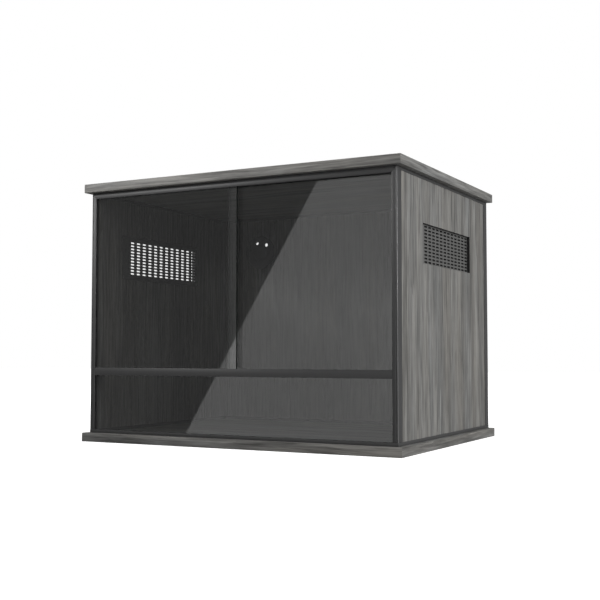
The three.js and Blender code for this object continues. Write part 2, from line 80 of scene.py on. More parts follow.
class Side(Enum):
    """One of the six ways that a face can look."""

    LEFT = (-1.0, 0.0, 0.0)
    RIGHT = (1.0, 0.0, 0.0)
    FRONT = (0.0, -1.0, 0.0)
    REAR = (0.0, 1.0, 0.0)
    BOTTOM = (0.0, 0.0, -1.0)
    TOP = (0.0, 0.0, 1.0)

    @property
    def vector(self) -> Vector:
        """The way it looks as a unit vector."""
        return Vector(self.value)

    @property
    def axis(self) -> Axis:
        """The axis that it looks along."""
        return Axis([abs(part) for part in self.value].index(1.0))


# ---- modelling ----------------------------------------------------------------------------


def take(obj: bpy.types.Object) -> None:
    """Selects one object alone and makes it active.

    Args:
        obj: the object.
    """
    bpy.ops.object.select_all(action="DESELECT")
    obj.select_set(True)
    bpy.context.view_layer.objects.active = obj


class Form:
    """A mesh in the making, shaped with the edit-mode tools."""

    weld: float = 0.005 * MM
    fine_weld: float = 0.002 * MM
    flat: float = math.radians(0.5)
    sharp: float = math.radians(40)

    def __init__(self, obj: bpy.types.Object, name: str) -> None:
        """Takes hold of a new object.

        Args:
            obj: the object that a primitive operator has just added.
            name: the piece's name.
        """
        self.obj = obj
        obj.name = name
        obj.data.name = name
        take(obj)
        bpy.ops.object.transform_apply(location=True, rotation=True, scale=True)

    @classmethod
    def block(cls, name: str, low: Vector, high: Vector) -> "Form":
        """Starts from a cube drawn out between two corners.

        Args:
            name: the piece's name.
            low: the lowest corner.
            high: the highest corner.

        Returns:
            The new form.
        """
        bpy.ops.object.select_all(action="DESELECT")
        bpy.ops.mesh.primitive_cube_add(size=1.0, location=(low + high) / 2, scale=high - low)
        return cls(bpy.context.object, name)

    @classmethod
    def disc(cls, name: str, centre: Vector, radius: float, sides: int) -> "Form":
        """Starts from a filled circle that faces along Y.

        Args:
            name: the piece's name.
            centre: the circle's centre.
            radius: its radius.
            sides: its number of sides.

        Returns:
            The new form.
        """
        bpy.ops.object.select_all(action="DESELECT")
        bpy.ops.mesh.primitive_circle_add(vertices=sides, radius=radius, fill_type="NGON",
                                          location=centre, rotation=(math.pi / 2, 0, 0))
        return cls(bpy.context.object, name)

    @classmethod
    def rod(cls, name: str, centre: Vector, radius: float, sides: int, length: float) -> "Form":
        """Starts from a filled circle drawn out along Y.

        Args:
            name: the piece's name.
            centre: the centre of its front end.
            radius: its radius.
            sides: its number of sides.
            length: its length.

        Returns:
            The new form.
        """
        form = cls.disc(name, centre, radius, sides)
        with form.editing():
            bpy.ops.mesh.select_all(action="SELECT")
            bpy.ops.mesh.extrude_region_move(TRANSFORM_OT_translate={"value": (0, length, 0)})
        return form.close()

    @contextmanager
    def editing(self, mode: str = "FACE") -> Iterator[None]:
        """Opens edit mode with nothing selected, and closes it again.

        Args:
            mode: what is picked: VERT, EDGE or FACE.

        Yields:
            Nothing; the form is in edit mode meanwhile.
        """
        take(self.obj)
        bpy.ops.object.mode_set(mode="EDIT")
        bpy.ops.mesh.select_mode(type=mode)
        bpy.ops.mesh.select_all(action="DESELECT")
        try:
            yield
        finally:
            bpy.ops.object.mode_set(mode="OBJECT")

    def pick_faces(self, test: MeshTest) -> None:
        """Selects the faces that pass a test.

        Args:
            test: told a face's middle and its normal.
        """
        mesh = bmesh.from_edit_mesh(self.obj.data)
        mesh.normal_update()
        for face in mesh.faces:
            face.select_set(test(face.calc_center_median(), face.normal))
        bmesh.update_edit_mesh(self.obj.data)

    def pick_edges(self, test: MeshTest) -> None:
        """Selects the edges that pass a test.

        Args:
            test: told an edge's middle and its direction.
        """
        mesh = bmesh.from_edit_mesh(self.obj.data)
        for edge in mesh.edges:
            start, end = (corner.co for corner in edge.verts)
            edge.select_set(test((start + end) / 2, (end - start).normalized()))
        bmesh.update_edit_mesh(self.obj.data)

    def score(self, axis: Axis, *places: float) -> None:
        """Cuts new edges round the form without taking anything off.

        Args:
            axis: the axis that the cuts are square to.
            places: where they lie on it.
        """
        for place in places:
            bpy.ops.mesh.select_all(action="SELECT")
            bpy.ops.mesh.bisect(plane_co=axis.vector * place, plane_no=axis.vector)

    def groove(self, side: Side, across: Axis, width: Sequence[float], depth: float,
               along: Axis, reach: Sequence[float]) -> "Form":
        """Sinks a groove with closed ends into one side, or raises a rib out of it.

        Args:
            side: the side that it is sunk into.
            across: the axis that its width lies on.
            width: its two edges on that axis.
            depth: how deep it is, below 0 for a rib.
            along: the axis that it runs on.
            reach: its two ends on that axis.

        Returns:
            The form itself.
        """
        bounds = [(axis.value, min(edges), max(edges))
                  for axis, edges in ((across, width), (along, reach))]
        out = side.vector

        def strip(middle: Vector, normal: Vector) -> bool:
            """True for a face of the side that lies between the edges."""
            inside = all(low < middle[index] < high for index, low, high in bounds)
            return inside and normal.dot(out) > ALIGNED

        with self.editing():
            for index, low, high in bounds:
                self.score(Axis(index), low, high)
            mesh = bmesh.from_edit_mesh(self.obj.data)
            mesh.normal_update()
            level = max(face.calc_center_median().dot(out) for face in mesh.faces
                        if strip(face.calc_center_median(), face.normal)) - HAIR
            self.pick_faces(lambda middle, normal: strip(middle, normal)
                            and middle.dot(out) > level)
            bpy.ops.mesh.extrude_region_move(TRANSFORM_OT_translate={"value": out * -depth})
        return self

    def plough(self, side: Side, across: Axis, width: Sequence[float], depth: float) -> "Form":
        """Cuts a straight groove into one side, from end to end of the form.

        Args:
            side: the side that it is cut into, from the form's outermost face there.
            across: the axis that its width lies on.
            width: its two edges on that axis.
            depth: how deep it is.

        Returns:
            The form itself.
        """
        spots = [vertex.co for vertex in self.obj.data.vertices]
        low = Vector([min(spot[i] for spot in spots) - BEYOND for i in range(3)])
        high = Vector([max(spot[i] for spot in spots) + BEYOND for i in range(3)])
        low[across.value], high[across.value] = sorted(width)
        out, index = side.vector, side.axis.value
        level = max(spot.dot(out) for spot in spots)
        low[index], high[index] = sorted((place * out[index] for place in
                                          (level - depth, level + BEYOND)))
        return self.carve(Form.block("groove", low, high))

    def round_edges(self, test: MeshTest, radius: float, segments: int) -> "Form":
        """Rounds the edges that pass a test.

        Args:
            test: told an edge's middle and its direction.
            radius: how far the rounding reaches.
            segments: how many steps it has.

        Returns:
            The form itself.
        """
        with self.editing("EDGE"):
            self.pick_edges(test)
            bpy.ops.mesh.bevel(offset=radius, offset_type="OFFSET", segments=segments, profile=0.5)
        return self

    def apply(self, modifier: bpy.types.Modifier) -> None:
        """Applies a modifier."""
        take(self.obj)
        bpy.ops.object.modifier_apply(modifier=modifier.name)

    def carve(self, cutter: "Form") -> "Form":
        """Cuts another form's shape out of this one and takes that form away.

        Args:
            cutter: the shape to cut out.

        Returns:
            The form itself.
        """
        cut = self.obj.modifiers.new("cut", "BOOLEAN")
        cut.operation = "DIFFERENCE"
        cut.solver = "EXACT"
        cut.object = cutter.obj
        self.apply(cut)
        bpy.data.objects.remove(cutter.obj, do_unlink=True)
        return self

    def repeat(self, step: Vector, count: int) -> "Form":
        """Repeats the form in a row.

        Args:
            step: from one to the next.
            count: how many there are.

        Returns:
            The form itself.
        """
        row = self.obj.modifiers.new("row", "ARRAY")
        row.use_relative_offset = False
        row.use_constant_offset = True
        row.constant_offset_displace = step
        row.count = count
        self.apply(row)
        return self

    def soften(self, width: float, segments: int = 2) -> "Form":
        """Takes the sharpness off every edge.

        Args:
            width: how far the softening reaches.
            segments: how many steps it has.

        Returns:
            The form itself.
        """
        with self.editing():
            bpy.ops.mesh.select_all(action="SELECT")
            bpy.ops.mesh.remove_doubles(threshold=self.fine_weld)
            bpy.ops.mesh.dissolve_limited(angle_limit=self.flat)
        arris = self.obj.modifiers.new("arris", "BEVEL")
        arris.width = width
        arris.segments = segments
        arris.limit_method = "ANGLE"
        arris.angle_limit = self.sharp
        self.apply(arris)
        return self

    def close(self) -> "Form":
        """Merges what lies on the same spot and turns every face outwards."""
        with self.editing():
            bpy.ops.mesh.select_all(action="SELECT")
            bpy.ops.mesh.remove_doubles(threshold=self.weld)
            bpy.ops.mesh.normals_make_consistent(inside=False)
        return self

    def smooth(self, degrees: float = 32.0) -> "Form":
        """Shades the form smooth across edges flatter than an angle."""
        take(self.obj)
        bpy.ops.object.shade_smooth_by_angle(angle=math.radians(degrees))
        return self

    def copy(self, name: str, place: Matrix) -> "Form":
        """Copies the form, mesh and all, to another place.

        Args:
            name: the copy's name.
            place: where it goes.

        Returns:
            The copy.
        """
        take(self.obj)
        bpy.ops.object.duplicate(linked=False)
        twin = bpy.context.object
        twin.matrix_world = place
        return Form(twin, name)

    def paint(self, materials: Sequence[bpy.types.Material],
              choose: Callable[[Vector, Vector], int] = lambda middle, normal: 0) -> "Form":
        """Gives every face one of several materials.

        Args:
            materials: the materials.
            choose: told a face's middle and normal, gives the material's place in the list.

        Returns:
            The form itself.
        """
        mesh = self.obj.data
        mesh.materials.clear()
        for material in materials:
            mesh.materials.append(material)
        for face in mesh.polygons:
            face.material_index = choose(face.center, face.normal)
        return self

    def stand_for(self, node: str, body: str, slot: str) -> None:
        """Puts the finished piece in a node's place.

        Args:
            node: the node that it replaces.
            body: the body that it moves with.
            slot: the record's material slot; not used.
        """
        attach(self.obj, body)
        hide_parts(node)
        log.info("%s: %d faces, on %s", self.obj.name, len(self.obj.data.polygons), body)


def corners(node: str) -> tuple[Vector, Vector]:
    """A node's lowest and highest corner.

    Args:
        node: the node's name.

    Returns:
        The two corners.
    """
    low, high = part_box(node)
    return low, high


def hand(node: str) -> float:
    """-1 for a piece on the left side, 1 for one on the right."""
    return -1.0 if "left" in node else 1.0


# ---- finishes -----------------------------------------------------------------------------


class Recipe:
    """A node tree, put together one node at a time."""

    def __init__(self, tree: bpy.types.NodeTree) -> None:
        """Empties a tree to start from.

        Args:
            tree: the tree of a material or a world.
        """
        self.tree = tree
        tree.nodes.clear()

    def node(self, kind: str, values: Optional[dict] = None, **settings: object) -> bpy.types.Node:
        """Adds a node.

        Args:
            kind: its type, without the leading ShaderNode.
            values: for each input, by name or number, a value or the output that feeds it.
            settings: its options.

        Returns:
            The node.
        """
        made = self.tree.nodes.new("ShaderNode" + kind)
        for option, setting in settings.items():
            setattr(made, option, setting)
        for key, value in (values or {}).items():
            if isinstance(value, bpy.types.NodeSocket):
                self.tree.links.new(value, made.inputs[key])
            else:
                made.inputs[key].default_value = value
        return made

    def math(self, operation: str, *terms: object) -> bpy.types.NodeSocket:
        """Works out a number from others; each is a value or an output."""
        return self.node("Math", dict(enumerate(terms)), operation=operation).outputs[0]

    def vector(self, operation: str, *terms: object) -> bpy.types.NodeSocket:
        """Works out a vector from others; each is a value or an output."""
        return self.node("VectorMath", dict(enumerate(terms)), operation=operation).outputs[0]

    def blend(self, share: object, first: object, second: object,
              mode: str = "MIX") -> bpy.types.NodeSocket:
        """Mixes two colours.

        Args:
            share: how much of the second there is.
            first: the first colour.
            second: the second colour.
            mode: how they are mixed.

        Returns:
            The mixed colour.
        """
        mixer = self.node("Mix", {0: share, 6: first, 7: second}, data_type="RGBA",
                          blend_type=mode)
        return mixer.outputs[2]

    def shaded(self, colour: Colour, tone: bpy.types.NodeSocket) -> bpy.types.NodeSocket:
        """A colour made lighter or darker by a tone around 1."""
        grey = self.node("CombineColor", {0: tone, 1: tone, 2: tone}).outputs[0]
        return self.blend(1.0, (*colour, 1.0), grey, "MULTIPLY")

    def place(self) -> bpy.types.NodeSocket:
        """Where each point lies on its own piece."""
        return self.node("TexCoord").outputs["Object"]

    def bump(self, height: bpy.types.NodeSocket, strength: float,
             distance: float) -> bpy.types.NodeSocket:
        """Roughens the surface.

        Args:
            height: the pattern that stands out.
            strength: how much of it shows.
            distance: how high it stands.

        Returns:
            The normal.
        """
        values = {"Strength": strength, "Distance": distance, "Height": height}
        return self.node("Bump", values).outputs[0]

    def noise(self, place: bpy.types.NodeSocket, scale: float, detail: float = 2.0,
              roughness: float = 0.5) -> bpy.types.Node:
        """Adds a cloudy pattern.

        Args:
            place: where each point reads it.
            scale: how many lumps there are a metre.
            detail: how many finer layers it has.
            roughness: how strong they are.

        Returns:
            The pattern's node.
        """
        values = {"Vector": place, "Scale": scale, "Detail": detail, "Roughness": roughness}
        return self.node("TexNoise", values)

    def stretched(self, place: object, axis: Axis, factor: float) -> bpy.types.NodeSocket:
        """Draws a pattern out along one axis.

        Args:
            place: where each point reads it.
            axis: the axis.
            factor: the pattern's rate along it, below 1 to draw it out.

        Returns:
            The new place.
        """
        scale = [1.0, 1.0, 1.0]
        scale[axis.value] = factor
        return self.node("Mapping", {"Vector": place, "Scale": scale}).outputs[0]

    def ramp(self, share: object, *stops: tuple[float, Colour]) -> bpy.types.NodeSocket:
        """Turns a number into a colour.

        Args:
            share: the number.
            stops: places on the ramp, in order, with their colours.

        Returns:
            The colour.
        """
        ramp = self.node("ValToRGB", {0: share})
        elements = ramp.color_ramp.elements
        while len(elements) < len(stops):
            elements.new(0.5)
        for element, (position, colour) in zip(elements, stops):
            element.position = position
            element.color = (*colour, 1.0)
        return ramp.outputs[0]

    def range(self, share: object, low: float, high: float) -> bpy.types.NodeSocket:
        """Spreads a number between 0 and 1 over a range."""
        return self.node("MapRange", {0: share, 3: low, 4: high}).outputs[0]

    def end(self, shader: bpy.types.NodeSocket, world: bool = False) -> None:
        """Ends the tree in its output.

        Args:
            shader: what is shown.
            world: True for a world's tree.
        """
        self.node("OutputWorld" if world else "OutputMaterial", {0: shader})


def material_recipe(name: str) -> tuple[bpy.types.Material, Recipe]:
    """A new material and its empty tree.

    Args:
        name: the material's name.

    Returns:
        The material and its recipe.
    """
    material = bpy.data.materials.new(name)
    material.use_nodes = True
    return material, Recipe(material.node_tree)


@dataclass(frozen=True)
class OakFoil:
    """Grey oak foil, with its grain drawn out along one axis."""

    name: str
    grain: Axis
    dark: Colour = (0.054, 0.0535, 0.0515)
    middle: Colour = (0.138, 0.137, 0.133)
    light: Colour = (0.242, 0.241, 0.234)
    warm: Colour = (1.03, 1.0, 0.955)
    cool: Colour = (0.985, 1.0, 1.01)
    wander: float = 16 * MM
    sway_rate: float = 9.0
    sway_stretch: float = 0.3
    broad_rate: float = 34.0
    strand_rate: float = 150.0
    strand_stretch: float = 0.065
    line_rate: float = 330.0
    line_stretch: float = 0.035
    growth_rate: float = 15.0
    growth_distortion: float = 9.0
    pore_rate: float = 900.0
    pore_stretch: float = 0.04
    pore_edges: tuple[float, float] = (0.56, 0.68)
    hue_rate: float = 24.0
    hue_stretch: float = 0.08
    tone_share: float = 0.7
    strand_share: float = 0.8
    growth_share: float = 0.2
    line_share: float = 1.2
    pore_share: float = 0.18
    base_share: float = -0.28
    tone_stops: tuple[float, float, float] = (0.18, 0.52, 0.87)
    hue_stops: tuple[float, float] = (0.36, 0.64)
    roughness: tuple[float, float] = (0.48, 0.68)
    shine: float = 0.3
    relief: tuple[float, float] = (0.35, 0.08 * MM)

    def material(self) -> bpy.types.Material:
        """Builds the foil.

        Returns:
            The material.
        """
        material, recipe = material_recipe(self.name)
        place = recipe.place()
        slow = recipe.noise(recipe.stretched(place, self.grain, self.sway_stretch),
                            self.sway_rate, 2.0)
        across = [0.0 if i == self.grain.value else self.wander for i in range(3)]
        sway = recipe.vector("SUBTRACT", slow.outputs[1], (0.5,) * 3)
        swayed = recipe.vector("ADD", place, recipe.vector("MULTIPLY", sway, across))
        strand = recipe.stretched(swayed, self.grain, self.strand_stretch)
        tone = recipe.noise(strand, self.broad_rate, 3.0, 0.5).outputs[0]
        strands = recipe.noise(strand, self.strand_rate, 3.0, 0.6).outputs[0]
        lines = recipe.noise(recipe.stretched(swayed, self.grain, self.line_stretch),
                             self.line_rate, 3.0, 0.65).outputs[0]
        growth = recipe.node("TexWave", {
            "Vector": strand, "Scale": self.growth_rate, "Distortion": self.growth_distortion,
            "Detail": 3.0, "Detail Scale": 1.2, "Detail Roughness": 0.6},
            wave_type="BANDS", bands_direction="DIAGONAL", wave_profile="SAW").outputs["Fac"]
        pore = recipe.noise(recipe.stretched(place, self.grain, self.pore_stretch),
                            self.pore_rate, 2.0).outputs[0]
        first, last = self.pore_edges
        specks = recipe.node("MapRange", {0: pore, 1: first, 2: last}).outputs[0]
        share = recipe.math("MULTIPLY_ADD", tone, self.tone_share, self.base_share)
        share = recipe.math("MULTIPLY_ADD", strands, self.strand_share, share)
        share = recipe.math("MULTIPLY_ADD", growth, self.growth_share, share)
        share = recipe.math("ADD", share, recipe.math(
            "MULTIPLY_ADD", lines, self.line_share, -self.line_share / 2))
        share = recipe.math("MULTIPLY_ADD", specks, -self.pore_share, share)
        wood = recipe.ramp(share, *zip(self.tone_stops, (self.dark, self.middle, self.light)))
        hue = recipe.noise(recipe.stretched(place, self.grain, self.hue_stretch),
                           self.hue_rate, 3.0).outputs[0]
        tint = recipe.ramp(hue, *zip(self.hue_stops, (self.warm, self.cool)))
        shader = recipe.node("BsdfPrincipled", {
            "Base Color": recipe.blend(1.0, wood, tint, "MULTIPLY"),
            "Roughness": recipe.range(lines, *self.roughness),
            "Specular IOR Level": self.shine,
            "Normal": recipe.bump(recipe.math("SUBTRACT", lines, specks), *self.relief)})
        recipe.end(shader.outputs[0])
        return material


@dataclass(frozen=True)
class DrawnPlastic:
    """Dark plastic pressed through a die, with faint lines along its length."""

    name: str
    along: Axis
    colour: Colour = (0.042, 0.042, 0.0424)
    roughness: tuple[float, float] = (0.42, 0.52)
    shine: float = 0.22
    line_rate: float = 900.0
    line_stretch: float = 0.006
    cloud_rate: float = 60.0
    tones: tuple[float, float] = (0.86, 1.14)
    relief: tuple[float, float] = (0.25, 0.03 * MM)

    def material(self) -> bpy.types.Material:
        """Builds the plastic.

        Returns:
            The material.
        """
        material, recipe = material_recipe(self.name)
        place = recipe.place()
        lines = recipe.noise(recipe.stretched(place, self.along, self.line_stretch),
                             self.line_rate, 3.0, 0.6).outputs[0]
        cloud = recipe.noise(place, self.cloud_rate, 3.0).outputs[0]
        both = recipe.math("MULTIPLY", recipe.math("ADD", lines, cloud), 0.5)
        shader = recipe.node("BsdfPrincipled", {
            "Base Color": recipe.shaded(self.colour, recipe.range(both, *self.tones)),
            "Roughness": recipe.range(cloud, *self.roughness),
            "Specular IOR Level": self.shine,
            "Normal": recipe.bump(lines, *self.relief)})
        recipe.end(shader.outputs[0])
        return material


@dataclass(frozen=True)
class MouldedPlastic:
    """Plastic from a spark-eroded mould: a fine even pebble in its sheen."""

    name: str
    colour: Colour
    roughness: tuple[float, float] = (0.42, 0.56)
    pebble_rate: float = 2200.0
    cloud_rate: float = 45.0
    tones: tuple[float, float] = (0.88, 1.12)
    relief: tuple[float, float] = (0.3, 0.04 * MM)

    def material(self) -> bpy.types.Material:
        """Builds the plastic.

        Returns:
            The material.
        """
        material, recipe = material_recipe(self.name)
        place = recipe.place()
        pebble = recipe.noise(place, self.pebble_rate, 2.0, 0.6).outputs[0]
        cloud = recipe.noise(place, self.cloud_rate, 3.0).outputs[0]
        shader = recipe.node("BsdfPrincipled", {
            "Base Color": recipe.shaded(self.colour, recipe.range(cloud, *self.tones)),
            "Roughness": recipe.range(cloud, *self.roughness),
            "Normal": recipe.bump(pebble, *self.relief)})
        recipe.end(shader.outputs[0])
        return material


@dataclass(frozen=True)
class ZincPlate:
    """Bright zinc on steel, a little clouded."""

    name: str
    colour: Colour = (0.46, 0.47, 0.48)
    cloud_rate: float = 700.0
    stops: tuple[float, float] = (0.3, 0.7)
    shade: float = 0.8
    roughness: tuple[float, float] = (0.28, 0.5)

    def material(self) -> bpy.types.Material:
        """Builds the plating.

        Returns:
            The material.
        """
        material, recipe = material_recipe(self.name)
        cloud = recipe.noise(recipe.place(), self.cloud_rate, 3.0).outputs[0]
        dark = tuple(part * self.shade for part in self.colour)
        colour = recipe.ramp(cloud, *zip(self.stops, (dark, self.colour)))
        shader = recipe.node("BsdfPrincipled", {
            "Base Color": colour, "Metallic": 1.0,
            "Roughness": recipe.range(cloud, *self.roughness)})
        recipe.end(shader.outputs[0])
        return material


@dataclass(frozen=True)
class ClearGlass:
    """Float glass: the view passes straight through it, lamp light only dimmed, and its faces
    mirror by their angle.
    """

    name: str
    tint: Colour = (0.966, 0.970, 0.968)
    # Painted shade: lamp light and bounced light pass far dimmer than the view through, so the
    # cabinet's inside is shaded.
    lamp_shade_tint: Colour = (0.48, 0.48, 0.48)
    bounce_shade_tint: Colour = (0.335, 0.335, 0.335)
    ior: float = 1.5

    def material(self) -> bpy.types.Material:
        """Builds the glass.

        Returns:
            The material.
        """
        material, recipe = material_recipe(self.name)
        path = recipe.node("LightPath")
        lamp_ray = path.outputs["Is Shadow Ray"]
        clear = recipe.blend(path.outputs["Is Diffuse Ray"], (*self.tint, 1.0),
                             (*self.bounce_shade_tint, 1.0))
        clear = recipe.blend(lamp_ray, clear, (*self.lamp_shade_tint, 1.0))
        through = recipe.node("BsdfTransparent", {"Color": clear}).outputs[0]
        mirror = recipe.node("BsdfAnisotropic", {"Color": (1.0, 1.0, 1.0, 1.0), "Roughness": 0.0})
        entering = recipe.node("Fresnel", {"IOR": self.ior}).outputs[0]
        leaving = recipe.node("Fresnel", {"IOR": 1.0 / self.ior}).outputs[0]
        behind = recipe.node("NewGeometry").outputs["Backfacing"]
        share = recipe.node("Mix", {0: behind, 2: entering, 3: leaving}).outputs[0]
        share = recipe.math("MULTIPLY", share, recipe.math("SUBTRACT", 1.0, lamp_ray))
        glass = recipe.node("MixShader", {0: share, 1: through, 2: mirror.outputs[0]})
        recipe.end(glass.outputs[0])
        return material


@dataclass(frozen=True)
class GroundGlass:
    """The ground edge of a pane: green and dull, with the marks of the wheel."""

    name: str
    deep: Colour = (0.002, 0.003, 0.0025)
    pale: Colour = (0.005, 0.007, 0.006)
    mark_rate: float = 1300.0
    stops: tuple[float, float] = (0.35, 0.65)
    roughness: tuple[float, float] = (0.4, 0.55)
    shine: float = 0.1
    relief: tuple[float, float] = (0.4, 0.03 * MM)

    def material(self) -> bpy.types.Material:
        """Builds the edge.

        Returns:
            The material.
        """
        material, recipe = material_recipe(self.name)
        marks = recipe.noise(recipe.place(), self.mark_rate, 3.0, 0.65).outputs[0]
        shader = recipe.node("BsdfPrincipled", {
            "Base Color": recipe.ramp(marks, *zip(self.stops, (self.deep, self.pale))),
            "Roughness": recipe.range(marks, *self.roughness),
            "Specular IOR Level": self.shine,
            "Normal": recipe.bump(marks, *self.relief)})
        recipe.end(shader.outputs[0])
        return material


@dataclass(frozen=True)
class SealedEdge:
    """The black sealing coat on a cut edge of the panel's core."""

    name: str
    colour: Colour = (0.006, 0.006, 0.006)
    fibre_rate: float = 420.0
    stops: tuple[float, float] = (0.3, 0.7)
    shades: tuple[float, float] = (0.6, 1.6)
    roughness: tuple[float, float] = (0.6, 0.85)
    shine: float = 0.25
    relief: tuple[float, float] = (0.5, 0.1 * MM)

    def material(self) -> bpy.types.Material:
        """Builds the coat.

        Returns:
            The material.
        """
        material, recipe = material_recipe(self.name)
        fibres = recipe.noise(recipe.place(), self.fibre_rate, 4.0, 0.65).outputs[0]
        tones = [tuple(part * shade for part in self.colour) for shade in self.shades]
        colour = recipe.ramp(fibres, *zip(self.stops, tones))
        shader = recipe.node("BsdfPrincipled", {
            "Base Color": colour, "Roughness": recipe.range(fibres, *self.roughness),
            "Specular IOR Level": self.shine, "Normal": recipe.bump(fibres, *self.relief)})
        recipe.end(shader.outputs[0])
        return material


@dataclass
class Finishes:
    """Every finish of the cabinet, each built once."""

    oak: dict[Axis, bpy.types.Material] = field(default_factory=dict)
    drawn: dict[Axis, bpy.types.Material] = field(default_factory=dict)

    def __post_init__(self) -> None:
        """Builds the materials."""
        for axis in Axis:
            self.oak[axis] = OakFoil(f"oak_foil_{axis.name.lower()}", axis).material()
            self.drawn[axis] = DrawnPlastic(f"drawn_plastic_{axis.name.lower()}", axis).material()
        # Painted highlight: a lighter, glossier plastic for the posts' rounded corners.
        self.painted_highlight = DrawnPlastic("painted_highlight_plastic", Axis.Z, colour=(0.17, 0.17, 0.172),
                                      roughness=(0.2, 0.28), shine=0.5).material()
        self.sealed = SealedEdge("sealed_edge").material()
        self.glass = ClearGlass("clear_glass").material()
        self.ground = GroundGlass("ground_glass_edge").material()
        self.grille = MouldedPlastic("grille_plastic", (0.080, 0.080, 0.078)).material()
        # Painted shade: near-black plastic on the grille's slot walls, far darker than the
        # grille's own colour.
        self.painted_slot_shade = MouldedPlastic("painted_slot_shade_plastic", (0.008, 0.008, 0.008), (0.5, 0.64)).material()
        self.gland = MouldedPlastic("gland_plastic", (0.018, 0.018, 0.019), (0.3, 0.42)).material()
        self.zinc = ZincPlate("zinc_plate").material()


# ---- sub-assemblies -----------------------------------------------------------------------


@dataclass
class SubAssembly:
    """Pieces that are built and dressed together and ride on the cabinet."""

    body: str = "cabinet"
    forms: dict[str, Form] = field(default_factory=dict)

    def build(self) -> None:
        """Models the pieces, each under the name of the node that it stands for."""
        raise NotImplementedError

    def dress(self, finishes: Finishes) -> None:
        """Gives the pieces their materials and puts them in their nodes' places."""
        raise NotImplementedError

    def start(self, node: str) -> tuple[Form, Vector, Vector]:
        """Starts a piece from a node's size and place.

        Args:
            node: the node's name.

        Returns:
            The form and the node's lowest and highest corners.
        """
        low, high = corners(node)
        return self.start_block(node, low, high), low, high

    def start_block(self, node: str, low: Vector, high: Vector) -> Form:
        """Starts a piece from a block of another size than its node's.

        Args:
            node: the node that it stands for.
            low: the block's lowest corner.
            high: its highest corner.

        Returns:
            The form.
        """
        self.forms[node] = Form.block(node + "_finished", low, high)
        return self.forms[node]


@dataclass
class Boards(SubAssembly):
    """The base and top boards, with their edges banded in the same foil."""

    arris: float = 0.6 * MM
    steps: int = 3

    def build(self) -> None:
        """Models both boards."""
        for node in ("base_board", "top_board"):
            form, _, _ = self.start(node)
            form.round_edges(lambda middle, way: True, self.arris, self.steps)

    def dress(self, finishes: Finishes) -> None:
        """Lays the foil with its grain along each edge.

        Args:
            finishes: the cabinet's finishes.
        """
        materials = [finishes.oak[Axis.X], finishes.oak[Axis.Y]]
        for node, form in self.forms.items():
            form.paint(materials, lambda middle, normal: int(abs(normal.x) > 0.5))
            form.smooth().stand_for(node, self.body, "board")


@dataclass
class Panels(SubAssembly):
    """The side panels with their vent cut-outs and the back panel with its cable hole."""

    vent_width: float = 229 * MM
    vent_height: float = 64 * MM
    seat_depth: float = 3.2 * MM
    seat_margin: float = 8 * MM
    gland_hole: float = 30 * MM
    gland_sides: int = 96
    arris: float = 0.25 * MM

    def build(self) -> None:
        """Models the three panels."""
        for hand_name in ("left", "right"):
            self.build_side(hand_name)
        form, low, high = self.start("back_panel")
        ring_low, ring_high = corners("cable_gland_ring")
        centre = (ring_low + ring_high) / 2
        centre.y = low.y - BEYOND
        hole = Form.rod("cable_hole", centre, self.gland_hole, self.gland_sides,
                        high.y - low.y + 2 * BEYOND)
        form.carve(hole).soften(self.arris, 1)

    def build_side(self, hand_name: str) -> None:
        """Models one side panel.

        Args:
            hand_name: left or right.
        """
        form, low, high = self.start(hand_name + "_side_panel")
        plate_low, plate_high = corners(hand_name + "_vent_grille")
        centre = (plate_low + plate_high) / 2
        half = Vector((0, self.vent_width / 2, self.vent_height / 2))
        margin = Vector((0, self.seat_margin, self.seat_margin))
        opening_low, opening_high = centre - half, centre + half
        opening_low.x, opening_high.x = low.x - BEYOND, high.x + BEYOND
        form.carve(Form.block("vent_opening", opening_low, opening_high))
        seat_low, seat_high = centre - half - margin, centre + half + margin
        way = hand(hand_name)
        inner = low.x if way > 0 else high.x
        ends = (inner - way * BEYOND, inner + way * self.seat_depth)
        seat_low.x, seat_high.x = sorted(ends)
        form.carve(Form.block("grille_seat", seat_low, seat_high)).soften(self.arris, 1)

    def dress(self, finishes: Finishes) -> None:
        """Lays the foil upright and seals the cut edges.

        Args:
            finishes: the cabinet's finishes.
        """
        for node, form in self.forms.items():
            low, high = corners(node)
            thin = (Axis.Y if node == "back_panel" else Axis.X).value

            def sealed(middle: Vector, normal: Vector) -> int:
                """1 for a cut edge, 0 for a face of the sheet."""
                return int(min(middle[thin] - low[thin], high[thin] - middle[thin]) > 2 * HAIR)

            form.paint([finishes.oak[Axis.Z], finishes.sealed], sealed)
            form.stand_for(node, self.body, "panel")


@dataclass
class Profiles(SubAssembly):
    """What every dark edge profile shares: walls, slots and a softened edge."""

    lip: float = 1.2 * MM
    rib: float = 0.9 * MM
    flange: float = 1.0 * MM
    glass_slot: float = 4.6 * MM
    panel_slot: float = 8.4 * MM
    web: float = 2.0 * MM
    gap: float = 0.2 * MM
    bead: float = 2.0 * MM
    fine_groove: float = 1.8 * MM
    fine_depth: float = 0.5 * MM
    arris: float = 0.12 * MM

    def dress(self, finishes: Finishes) -> None:
        """Gives each profile die lines along its length.

        Args:
            finishes: the cabinet's finishes.
        """
        for node, form in self.forms.items():
            form.soften(self.arris)
            self.paint_faces(form, finishes)
            form.smooth(30.0).stand_for(node, self.body, "profile")

    def paint_faces(self, form: Form, finishes: Finishes) -> None:
        """Gives a profile its plastic.

        Args:
            form: the profile.
            finishes: the cabinet's finishes.
        """
        size = form.obj.dimensions
        longest = Axis(max(range(3), key=lambda i: size[i]))
        form.paint([finishes.drawn[longest]])


